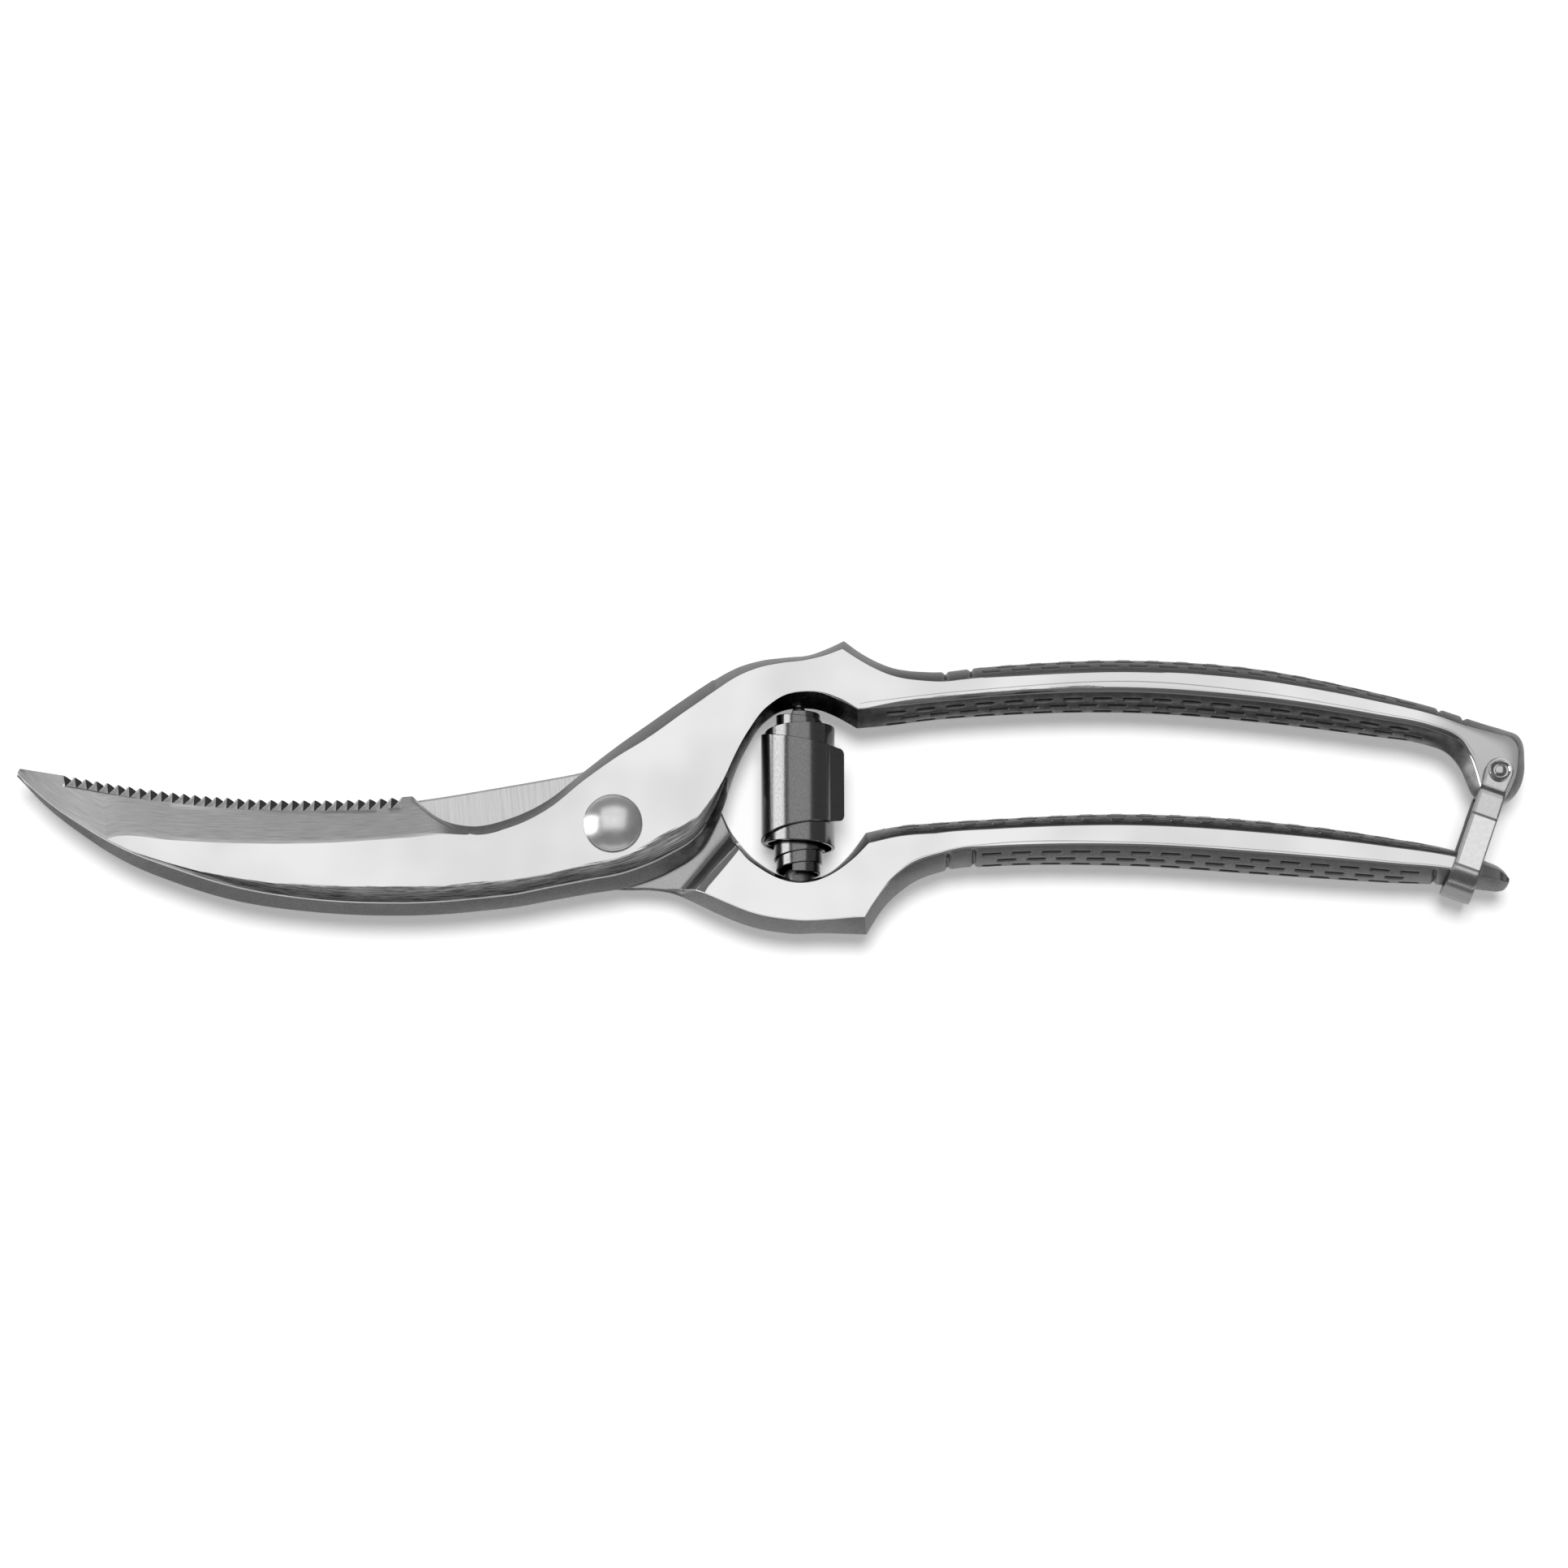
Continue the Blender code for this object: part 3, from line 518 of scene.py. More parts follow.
# %% Ribs of the back half
BACK = [
    (-99.1, (-99.1, 8.2), (-99.4, 7.6), 0.1, 0.15, 0.0, 0.15, 0.1, ""),
    (-90.5, (-90.5, 6.6), (-90.5, 2.6), 0.3, 0.4, 0.0, 0.3, 0.2, ""),
    (-76.8, (-76.8, 4.3), (-76.8, -3.4), 0.3, 0.4, 0.0, 0.3, 0.2, ""),
    (-63.0, (-63.0, 3.2), (-63.0, -6.6), 0.3, 0.4, 0.0, 0.3, 0.2, ""),
    (-49.2, (-49.2, 3.2), (-49.2, -8.4), 0.3, 0.4, 0.0, 0.3, 0.2, ""),
    (-33.4, (-33.4, 4.9), (-34.1, -9.3), 0.3, 0.4, 0.0, 0.3, 0.2, ""),
    (-18.9, (-18.9, 7.3), (-20.0, -9.3), 0.3, 0.4, 0.0, 0.3, 0.2, ""),
    (-7.9, (-7.9, 9.3), (-9.3, -9.9), 0.3, 0.4, 0.0, 0.4, 0.3, ""),
    (5.9, (5.9, 12.0), (2.4, -10.6), 0.3, 0.4, 0.0, 0.4, 0.3, ""),
    (12.0, (12.0, 10.9), (5.9, -10.6), 0.3, 0.4, 0.0, 0.4, 0.3, ""),
    (16.4, (16.4, 6.6), (8.6, -10.9), 0.3, 0.4, 0.0, 0.5, 0.4, ""),
    (19.7, (19.7, -0.4), (10.9, -11.5), 0.4, 0.5, 0.0, 1.2, 1.0, ""),
    (21.0, (21.0, -2.3), (12.6, -12.3), 0.9, 1.0, 0.0, 1.6, 1.5, ""),
    (22.6, (22.6, -4.3), (16.6, -14.3), 1.2, 1.3, 0.0, 1.8, 1.7, ""),
    (25.2, (25.2, -6.5), (21.2, -16.3), 1.2, 1.3, 0.0, 1.8, 1.7, ""),
    (31.3, (31.3, -8.9), (29.3, -18.1), 1.2, 1.3, 0.0, 1.8, 1.7, ""),
    (37.3, (37.3, -7.0), (36.4, -18.1), 1.3, 1.4, 0.0, 1.8, 1.7, ""),
    (40.3, (40.3, -3.9), (42.5, -18.3), 1.8, 1.9, 0.0, 2.4, 2.3, "L"),
    (42.5, (42.5, -0.8), (44.7, -14.7), 2.5, 2.6, 0.0, 2.3, 2.2, "U"),
    (47.3, (47.3, 0.3), (49.2, -10.2), 2.5, 2.6, 0.0, 2.8, 2.3, ""),
    (54.6, (54.6, 1.0), (56.0, -7.3), 2.6, 2.7, 0.0, 2.7, 2.2, ""),
    (63.7, (63.7, 1.6), (63.7, -6.6), 2.9, 3.0, 0.0, 3.2, 2.8, ""),
    (88.5, (88.5, 2.5), (88.5, -6.6), 3.2, 3.3, 0.0, 3.4, 3.0, ""),
    (109.0, (109.0, 1.3), (109.0, -8.0), 3.3, 3.4, 0.0, 3.5, 3.1, ""),
    (129.8, (129.8, -1.5), (129.8, -9.4), 3.2, 3.3, 0.0, 3.0, 2.7, ""),
    (142.9, (142.9, -4.3), (142.2, -10.1), 2.4, 2.5, 0.0, 2.2, 2.1, ""),
    (147.0, (147.0, -5.8), (147.0, -10.8), 1.8, 1.9, 0.0, 1.7, 1.6, ""),
    (148.9, (148.9, -6.7), (148.8, -10.9), 1.3, 1.4, 0.0, 1.3, 1.2, ""),
    (150.0, (149.9, -7.7), (149.8, -10.5), 0.8, 0.9, 0.0, 0.8, 0.7, ""),
    (150.6, (150.4, -8.8), (150.3, -9.8), 0.2, 0.3, 0.0, 0.3, 0.2, ""),
]


class Ribs:
    """The ribs' columns as curves that can be asked for at any station."""

    def __init__(self, rows):
        self.stations, self.uppers, self.lowers, *self.measures, ends = zip(*rows)
        self.upper_corner = ["U" in end for end in ends]
        self.lower_corner = ["L" in end for end in ends]

    def upper(self, at):
        return curve(self.stations, self.uppers, self.upper_corner, at)

    def lower(self, at):
        return curve(self.stations, self.lowers, self.lower_corner, at)

    def measure(self, which, at, corners=None):
        values = self.measures[which]
        return curve(self.stations, values, corners or self.upper_corner, at)[:, 0]


UPPER_WIDTH, BEVEL_LINE, BEVEL_HEIGHT, FLAT_END, SPINE_LINE = range(5)
front_ribs, back_ribs = Ribs(FRONT), Ribs(BACK)
print(len(BACK), "ribs from the tip to the end of the lower handle")

# %% [markdown]
# ## Teeth, grip slots and cross grooves
#
# The serration is 31 small notches filed into the edge at a slant, so each tooth shows one long
# light facet and one steep dark one, their light and dark partly painted: a painted highlight on
# the long facet and painted shade on the steep one. To keep the facets crisp, the columns of the
# grid follow the notch: eight columns for a tooth, and the rows lean them over until the notch
# runs out.

# %% Teeth
TEETH, TEETH_START, TEETH_END = 31, -93.0, -35.7
TOOTH = (TEETH_END - TEETH_START) / TEETH
TOOTH_COLUMNS, VALLEY_COLUMN = 8, 5
NOTCH_REACH, EDGE_RECESS = 2.0, 0.55
VALLEY_AT_EDGE, VALLEY_AT_END = 0.62, 0.10  # shares of a tooth, apart because of the slant


def tooth_phase(column, inward):
    """Where a column's point lies in its tooth, 0 to 1; inward is 0 at the edge, 1 at the end."""
    valley = VALLEY_AT_EDGE * (1 - inward) + VALLEY_AT_END * inward
    k = np.asarray(column, float)
    rising = k / VALLEY_COLUMN * valley
    falling = valley + (k - VALLEY_COLUMN) / (TOOTH_COLUMNS - VALLEY_COLUMN) * (1 - valley)
    return np.where(k <= VALLEY_COLUMN, rising, falling)


def tooth_depth(column):
    """1 on the valley line, 0 on the two neighbouring crests."""
    k = np.asarray(column, float)
    return np.where(
        k <= VALLEY_COLUMN, k / VALLEY_COLUMN,
        (TOOTH_COLUMNS - k) / (TOOTH_COLUMNS - VALLEY_COLUMN),
    )


print(f"tooth pitch {TOOTH:.2f} mm")

# %% [markdown]
# The grip is rows of short slots, milled into the walls of both handles, every other row moved
# by half a pitch. They are pressed into the grid along its own normals, and so are the cross
# grooves at the ends of the grip. A Boolean for each of some hundred slots would be slow, and
# would break the even grid that the masks lie on.

# %% Slots and grooves
SLOT_PITCH, SLOT_LENGTH, SLOT_HEIGHT, SLOT_DEPTH = 5.0, 3.2, 0.62, 0.45
SLOT_ROWS = (0.70, 0.38, 0.06, -0.26, -0.58)
WALL_HALF_HEIGHT = 4.7
GROOVE_DEPTH, GROOVE_SPREAD = 0.55, 0.33


def slots(x, wall, start, end, shift):
    """Depth of the grip slots: x along the handle, wall from -1 (bottom) to 1 (top edge)."""
    depth = np.zeros_like(x)
    for number, row in enumerate(SLOT_ROWS):
        moved = x - start - (number % 2) * SLOT_PITCH / 2 - shift
        near = (moved + SLOT_PITCH / 2) % SLOT_PITCH - SLOT_PITCH / 2
        beyond = np.maximum(np.abs(near) - (SLOT_LENGTH - SLOT_HEIGHT) / 2, 0)
        off = (wall - row) * WALL_HALF_HEIGHT
        away = np.hypot(beyond, off) - SLOT_HEIGHT / 2
        inside = (x - near > start - 0.1) & (x - near < end + 0.1)
        depth = np.maximum(depth, (1 - smooth(away, -0.13, 0.07)) * inside)
    return depth * SLOT_DEPTH


def groove(x, place):
    """Depth of a rounded V across the wall."""
    return GROOVE_DEPTH * np.exp(-(((x - place) / GROOVE_SPREAD) ** 2))


print(len(SLOT_ROWS), "rows of slots on each wall")

# %% [markdown]
# ## Masks
#
# The material needs to know what kind of face it is on. Most masks follow from the part of the
# section and the station; `extra` is each half's own function for the rest. Two values aren't
# masks but distances in mm, which the grind follows: `run` goes along the forging, and `over`
# goes over the section, counted from the bevel line up there and from the spine line below it.

# %% Normals and masks
# how dark the slot floors are painted, as painted shade
SLOT_SHADE = 0.8
OVER_BEVEL, OVER_SPINE = 30, 60  # far apart, so the two grinds don't repeat each other


def normals_of(points):
    """Unit normals of a wrapped grid, from its neighbours."""
    along = np.gradient(points, axis=0)
    round_it = np.roll(points, -1, 1) - np.roll(points, 1, 1)
    normal = np.cross(along, round_it)
    normal /= np.maximum(np.linalg.norm(normal, axis=2, keepdims=True), 1e-9)
    middle = points.mean(axis=1, keepdims=True)
    return np.where(((points - middle) * normal).sum(-1).mean() < 0, -normal, normal)


def masks_of(stations, points, flat, h, pressed, extra):
    part = ring_part[None, :] + 0 * stations[:, None].astype(int)
    t = ring_t[None, :] + 0 * part
    blade = h["blade"][:, None] + 0 * t
    wall = np.isin(part, [LOWER_WALL, LOWER_UNDER, UNDER]) * 1.0
    upper = np.isin(part, UPPER_SIDE) | ((part == UPPER_ROUND) & (t < 0.5))
    middle = points.mean(axis=1)
    run = np.concatenate([[0], np.cumsum(np.linalg.norm(np.diff(middle, axis=0), axis=1))])
    steps = np.diff(flat, axis=1, prepend=flat[:, :1])
    over = np.cumsum(np.linalg.norm(steps, axis=2), axis=1)
    bevel, spine = (over[:, list(ring_part).index(p)][:, None] for p in (FLAT, LOWER_WALL))
    from_spine = (part >= ROLL) | ((part == FLAT) & (t > 0.5))
    masks = {
        "bevel": np.isin(part, [UPPER_WALL, UPPER_ROUND, BEVEL]) * blade,
        "roll": np.where(part == ROLL, np.maximum(t, 0.02), 0.0) * h["streak"][:, None],
        "wall": np.where(upper, 1 - blade, wall),
        "cross": h["cross"][:, None] * (part < LOWER_WALL) + 0 * t,
        # painted shade on the slot floors, darker where the slot is deeper
        "painted_slot_shade": smooth(pressed / SLOT_DEPTH, 0.1, 0.6) * SLOT_SHADE,
        "inner_shade": 0 * t, "shade": 0 * t, "painted_highlight": 0 * t, "lap": 0 * t, "soft_painted_shade": 0 * t,
        "run": run[:, None] + 0 * t,
        "over": np.where(from_spine, OVER_SPINE + over - spine, OVER_BEVEL + over - bevel),
    }
    for name, values in extra(stations[:, None] + 0 * t, part, t, points).items():
        masks[name] = values + 0 * t
    return masks


print(f"slots are shaded from {0.1 * SLOT_DEPTH:.2f} mm down")

# %% [markdown]
# ## Building a half
#
# `loft` puts the landmarks on every column, rounds the walls, presses the slots and grooves into
# them and writes the masks. The two halves differ only in their tables and in how their levels
# change at the lap, which comes in as a function of the station. Of the levels, `top` and `low`
# are the heights of the flat and the underside, and `wide` and `wide_l` those of the widest
# points. `under_u` and `under_l` say how far the bottom edges lie inside the outline, `fall` and
# `slope` how the roll-off and the bevel drop, `round` and `bulge` how soft the edge and the walls
# are. `blade`, `streak` and `cross` fade a finish in and out.

# %% Loft
WALL_SHARE = 0.3  # a wall never takes more of a narrow section than this
LEAST = 0.02


def landmarks_of(ribs, stations, h, width):
    """The nine landmarks of every column, as distance along the rib and height."""
    wall_u, bevel = ribs.measure(UPPER_WIDTH, stations), ribs.measure(BEVEL_LINE, stations)
    flat_l, wall_l = ribs.measure(FLAT_END, stations), ribs.measure(SPINE_LINE, stations)
    wall_l = np.minimum(wall_l, WALL_SHARE * width)
    wall_u = np.minimum(wall_u, WALL_SHARE * width)
    bevel = np.clip(bevel, wall_u + LEAST, width - wall_l - 2 * LEAST)
    most = np.maximum(width - bevel - LEAST / 2, wall_l + LEAST)
    flat_l = np.clip(flat_l, wall_l + LEAST, most)
    slope = np.minimum(h["slope"], (h["top"] - h["wide"]) / np.maximum(bevel, 0.01))
    edge_height = h["top"] - slope * (bevel - wall_u)
    rounding = h["round"]
    marks = [
        (0 * width, h["wide"]),
        (wall_u - rounding * 0.4, edge_height - rounding),
        (wall_u + rounding, edge_height),
        (np.maximum(bevel, wall_u + rounding + LEAST), h["top"]),
        (width - flat_l, h["top"]),
        (width - wall_l, h["top"] - h["fall"]),
        (width, h["wide_l"]),
        (width - h["under_l"], h["low"]),
        (h["under_u"], h["low"]),
    ]
    return np.stack([np.stack(mark, -1) for mark in marks], axis=1)


def loft(name, ribs, stations, height, carve, extra, teeth=None):
    """A forging as a closed mesh. height(station) gives the levels of the section."""
    upper, lower = ribs.upper(stations), ribs.lower(stations)
    across = lower - upper
    width = np.linalg.norm(across, axis=1)
    across /= width[:, None]
    h = height(stations)
    marks = landmarks_of(ribs, stations, h, width)
    flat = section(marks, h["bulge"])
    roll = ring_part == ROLL
    flat[:, roll, 1] = h["top"][:, None] - h["fall"][:, None] * ring_t[roll] ** 2

    points = np.concatenate(
        [upper[:, None] + across[:, None] * flat[..., :1], flat[..., 1:]], axis=-1
    )
    pressed, filed = carve(points)
    points = points - normals_of(points) * (pressed + filed)[..., None]
    if teeth:
        teeth(stations, points, marks)
    masks = masks_of(stations, points, flat, h, pressed, extra)
    thing = grid_object(name, points, masks)
    wear(thing, FORGED)
    return thing


def spaced(start, end, step):
    """Stations about a step apart, without the last one, where the next stretch starts."""
    return np.linspace(start, end, max(2, round((end - start) / step) + 1))[:-1]


print("a stretch of 1 mm in steps of 0.3:", spaced(0, 1, 0.3))

# %% [markdown]
# ## Levels of the front half
#
# The blade and the lap are half as thick as the handles, so the underside sits on the lap up to
# a shoulder beside the eye, then drops to the bottom of the forging. The paddle at the end is
# thinner again, to sit between the ears of the lock.

# %% Levels and columns of the front half
SHOULDER = (16.6, 16.9)
WIDEST_ON_BLADE = 0.5
GROUND_SLOPE = 0.361
PADDLE_RISE = 1.2


def front_levels(s):
    arm = smooth(s, *SHOULDER)
    grip = smooth(s, 42, 50)
    end = smooth(s, 138, 147)
    handle = grip * (1 - end)
    bevel_height = front_ribs.measure(BEVEL_HEIGHT, s, [False] * len(FRONT))
    widest = LAP_ABOVE + WIDEST_ON_BLADE
    return {
        "top": LAP_ABOVE + np.minimum(bevel_height, FULL),
        "wide": widest + (MIDDLE - widest) * arm,
        "wide_l": widest + (MIDDLE - widest) * arm,
        "low": LAP_ABOVE + (BOTTOM - LAP_ABOVE) * arm + PADDLE_RISE * end,
        "under_u": 0.02 + 0.25 * smooth(s, -34, -30) + 1.1 * arm + 1.2 * handle - 0.6 * end,
        "under_l": 0.25 + 0.95 * arm + 1.2 * handle - 0.6 * end,
        "fall": 0.6 * (1 - arm) + 0.15 * arm + 0.25 * grip * (1 - 0.6 * end),
        "slope": GROUND_SLOPE + 0 * s,
        "round": 0.14 * smooth(s, -34.2, -30),
        "bulge": 0.10 + 0.28 * handle - 0.10 * (1 - smooth(s, -34, -26)),
        "blade": 1 - smooth(s, -34.2, -26),
        "streak": (1 - smooth(s, 14, 20)) * smooth(s, -84, -76)
        + 0.12 * smooth(s, 44, 52) * (1 - smooth(s, 76, 90)),
        "cross": 0 * s,
    }


tooth_columns = TEETH_START + TOOTH * np.arange(TEETH * TOOTH_COLUMNS) / TOOTH_COLUMNS
front_stations = np.concatenate([
    spaced(-100.4, TEETH_START, 0.35), tooth_columns, spaced(TEETH_END, -34.0, 0.2),
    spaced(-34.0, -24.0, 0.3), spaced(-24.0, 16.6, 0.55), spaced(16.6, 16.9, 0.15),
    spaced(16.9, 38.9, 0.4), spaced(38.9, 41.7, 0.3), spaced(41.7, 146.0, 0.24),
    spaced(146.0, 161.0, 0.3), [161.0],
])
print(len(front_stations), "columns on the front half")

# %% [markdown]
# Both handles are carved by one function. A row of the grid on a wall has a place from -1 at the
# bottom edge to 1 at the top edge, and the slots and grooves are asked for at that place.

# %% Carving
HANDLE_START = 45.0
INNER_SHIFT = 1.2  # the slots of the two walls of a handle don't lie opposite each other


def wall_place(upward, downward):
    """Rows on a wall as -1 (bottom edge), 0 (widest) to 1 (top edge), NaN elsewhere."""
    place = np.full(len(ring_part), np.nan)
    for part, sign in ((upward, 1), (downward, -1)):
        rows = ring_part == part
        from_widest = part in (UPPER_WALL, LOWER_UNDER)
        place[rows] = sign * (ring_t[rows] if from_widest else 1 - ring_t[rows])
    return place


def side_carving(points, outer_side, inner_side, outer_slots, inner_slots, grooves):
    """Depths of slots on both walls and of cross grooves on the outer wall."""
    pressed, filed = np.zeros(points.shape[:2]), np.zeros(points.shape[:2])
    x = points[..., 0]
    for side, (start, end), shift in (
        (outer_side, outer_slots, 0.0), (inner_side, inner_slots, INNER_SHIFT),
    ):
        place = wall_place(*side)
        on = ~np.isnan(place)
        pressed += np.where(on, slots(x, np.where(on, place, 0), start, end, shift), 0)
    place = wall_place(*outer_side)
    on = ~np.isnan(place)
    fade = 1 - smooth(np.abs(np.where(on, place, 1)), 0.86, 0.99)
    for at in grooves:
        filed += np.where(on, groove(x, at) * fade, 0)
    handle = x > HANDLE_START
    return pressed * handle, filed * handle


def front_carving(points):
    return side_carving(
        points, UPPER_SIDE, LOWER_SIDE, (64.0, 135.5), (46.5, 137.0), (56.1, 60.4, 139.8, 144.0)
    )


print("rows on a wall:", int((~np.isnan(wall_place(*UPPER_SIDE))).sum()))

# %% [markdown]
# A notch is three moves of the same points: the columns lean over, the row at the edge steps
# back, and the floor drops below the ground face. The flat underside follows the new edge.

# %% Cutting the teeth
FACET_RISE, FLOOR_LIFT, FLOOR_EDGE = 0.34, 0.46, 0.04


def front_teeth(stations, points, marks):
    """Leans the columns over each notch and lowers the notch's floor."""
    first = int(np.searchsorted(stations, TEETH_START - 1e-6))
    number = TEETH * TOOTH_COLUMNS
    here = slice(first, first + number)
    tooth, column = np.divmod(np.arange(number), TOOTH_COLUMNS)
    deep = tooth_depth(column)
    recess = EDGE_RECESS * deep**1.5
    rows = np.where((ring_part == UPPER_WALL) | ((ring_part == UPPER_ROUND) & (ring_t == 0)))[0]
    for row in rows:
        inward = ring_t[row] if ring_part[row] == UPPER_WALL else 1.0
        at = TEETH_START + TOOTH * (tooth + tooth_phase(column, inward))
        upper, lower = front_ribs.upper(at), front_ribs.lower(at)
        across = (lower - upper) / np.linalg.norm(lower - upper, axis=1)[:, None]
        reach = recess + inward * (NOTCH_REACH - recess)
        facet = marks[here, 0, 1] + reach * FACET_RISE
        floor = LAP_ABOVE + FLOOR_EDGE + (NOTCH_REACH * FACET_RISE + FLOOR_LIFT) * inward
        points[here, row, :2] = upper + across * reach[:, None]
        points[here, row, 2] = facet * (1 - deep) + np.minimum(facet, floor) * deep
    under = np.where(ring_part == UPPER_UNDER)[0]
    edge = points[here, rows[0]].copy()
    start = points[here, under[0] - 1].copy()
    for row in under:
        points[here, row] = start + (edge - start) * ring_t[row]
        points[here, row, 2] = LAP_ABOVE


def notch_faces(stations, part):
    """1 on the steep side of every notch, 2 on its long side, 0 elsewhere."""
    first = int(np.searchsorted(stations[:, 0], TEETH_START - 1e-6))
    column = np.arange(len(stations)) - first
    inside = (column >= 0) & (column < TEETH * TOOTH_COLUMNS)
    side = np.where(column % TOOTH_COLUMNS < VALLEY_COLUMN, 1, 2) * inside
    return side[:, None] * (part == UPPER_WALL)


print(f"notches {NOTCH_REACH:.1f} mm long, {EDGE_RECESS:.2f} mm into the edge")

# %% [markdown]
# The last masks of the front half are painted light and shade: a painted highlight along the
# corner of the spine, painted shade inside the eye, the paddle painted darker, a thin painted dark
# line beside the slots, and on each tooth a painted highlight on the long side and painted shade
# on the steep side.

# %% The front half
def front_extra(s, part, t, points):
    side = notch_faces(s, part)
    # painted shade on the walls inside the eye, fading along the handle
    eye = smooth(s, 2, 12) * np.isin(part, LOWER_SIDE) * (1 - 0.45 * smooth(s, 39, 47))
    # painted highlights: a bright line at the spine's corner and one at the rim of the handle's
    # roll-off
    spine = (part == LOWER_WALL) & (t < 0.09) & (s < 12)
    rim = (part == ROLL) & (t > 0.86) & (s > 12)
    # a thin painted dark line along the roll-off of the handle
    ridge = (part == ROLL) & (t < 0.08) & (s > 41.8) & (s < 150)
    upper = np.isin(part, [UPPER_WALL, UPPER_ROUND])
    # painted shade on the end wall of the paddle
    end = smooth(s, 146, 151) * upper * 0.7
    # painted shade: the paddle darker towards its end, the handle's upper outer wall darker, and a
    # soft dark fade over the roll-off
    near_end = np.select(
        [part == BEVEL, part == FLAT, part == ROLL], [0.75, 0.75 - 0.37 * smooth(t, 0, 0.4), 0.42]
    )
    paddle = smooth(s, 136, 145) * near_end + 0.45 * smooth(s, 40, 50) * upper
    fading = np.where(part == ROLL, smooth(t, 0.1, 1.0) * 0.45 * smooth(s, 70, 110), 0)
    return {
        "inner_shade": eye * 0.9 + end,
        "shade": (side == 1) * 0.95 + ridge * 0.45,
        "painted_highlight": spine * 0.8 + rim * 0.7 + (side == 2) * 0.4,
        "soft_painted_shade": fading * (s < 146) + paddle,
    }


front_half = loft(
    "front_forging", front_ribs, front_stations, front_levels, front_carving, front_extra,
    front_teeth,
)
drill(front_half, (BORE, BOTTOM, TOP + 1, PIVOT), (RIVET_HOLE, BOTTOM, TOP + 1, RIVET))
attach(front_half, "front_half")
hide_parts("front_blade_half")
print(front_half.name, len(front_half.data.polygons), "faces")

# %% [markdown]
# ## The back half
#
# The plain blade lies hidden under the serrated one, apart from its ground spine in the bone
# notch. Past the pivot the forging steps up from the lap to full thickness in a soft, sloping
# shoulder, curves round the eye and runs out in the lower handle with its pointed end.

# %% Levels of the back half
def back_levels(s):
    arm = smooth(s, 19.2, 22.2)
    grip = smooth(s, 42, 50)
    end = smooth(s, 138, 151)
    blade = 1 - smooth(s, -30, -8)
    tip = 1 - smooth(s, -99, -80)
    nose = 0.9 * smooth(s, 143, 149) + 1.1 * smooth(s, 148.6, 150.7)
    under = 0.9 + 0.3 * arm + 1.1 * grip
    upper_widest, lower_widest = LAP_BELOW - 0.6, LAP_BELOW - 0.4
    return {
        "top": LAP_BELOW + (TOP - LAP_BELOW) * arm - nose,
        "wide": upper_widest + (MIDDLE - upper_widest) * arm,
        "wide_l": lower_widest + (MIDDLE - lower_widest) * arm,
        "low": BOTTOM + 1.9 * tip * (1 - arm) + nose,
        "under_u": under * (1 - 0.8 * tip) * (1 - 0.5 * end),
        "under_l": (under + 4.1 * blade) * (1 - 0.95 * tip) * (1 - 0.5 * end),
        "fall": 0.15 + 0 * s,
        "slope": 0 * s,
        "round": 0.13 + 0 * s,
        "bulge": 0.10 + 0.28 * grip * (1 - end),
        "blade": 1 - smooth(s, -8, 0),
        "streak": 0 * s,
        "cross": 1 - smooth(s, -5, -1),
    }


print(f"shoulder rises {TOP - LAP_BELOW:.2f} mm from the lap")

# %% [markdown]
# The shoulder beside the eye has two painted highlights, at its foot and at its top, with a
# painted dark line before the foot, and the walls inside the eye are painted dark as shade. The
# grip wraps the other way round here: its outer wall is the lower one.

# %% The back half
def back_carving(points):
    return side_carving(
        points, LOWER_SIDE, UPPER_SIDE, (63.6, 134.5), (46.0, 138.0), (56.3, 60.6, 137.8)
    )


def back_extra(s, part, t, points):
    face = part < LOWER_WALL
    upper = np.isin(part, UPPER_SIDE)
    # painted shade on the walls inside the eye, fading along the handle
    eye = smooth(s, 18, 22) * upper * (1 - 0.45 * smooth(s, 40, 48))
    # painted dark lines along the roll-off and before the shoulder's foot, and painted highlights
    # at its foot and crest
    ridge = (part == ROLL) & (t < 0.12) & (s > 44) & (s < 142)
    line = (s > 19.4) & (s < 19.9) & face
    foot = (s > 20.0) & (s < 21.0) & face
    slope = (s > 19.9) & (s < 21.1) & face
    crest = (s > 21.1) & (s < 21.5) & face
    nose = smooth(s, 143, 146) * face
    walls = np.isin(part, [LOWER_WALL, LOWER_UNDER, UNDER]) | (upper & (s > -5))
    return {
        "inner_shade": eye * 0.9,
        "lap": smooth(points[..., 0], -2, 2) * (s < 20.0) * face,
        "shade": ridge * 0.45 + line * 0.5,
        "painted_highlight": foot * 0.35 + crest * 0.8,
        "wall": np.maximum(walls, nose) + slope * 0.6,
    }


back_stations = np.concatenate([
    spaced(-99.1, 5.0, 1.2), spaced(5.0, 19.7, 0.6), spaced(19.7, 22.6, 0.12),
    spaced(22.6, 40.3, 0.4), spaced(40.3, 42.5, 0.25), spaced(42.5, 146.0, 0.24),
    spaced(146.0, 150.6, 0.2), [150.6],
])
back_half = loft(
    "back_forging", back_ribs, back_stations, back_levels, back_carving, back_extra
)
drill(back_half, (BORE, BOTTOM - 1, TOP, PIVOT), (RECESS, BOTTOM - 1, RECESS_TOP, PIVOT))
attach(back_half, "back_half")
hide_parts("back_blade_half")
print(back_half.name, len(back_half.data.polygons), "faces")

# %% [markdown]
# ## Pivot, rivet and their steel
#
# These are turned pieces, so each is one profile spun round its axis: radius and height, from
# the top down the outside. A lathe leaves the same form, and a profile of a dozen points is
# easier to change than a finished mesh. The nubs of the spring use the same profiles further
# down, spun round a line along Y.

# %% Turned pieces and their steel
ON_AXIS = 0.004  # stands for radius 0, so that the closing ring has a size


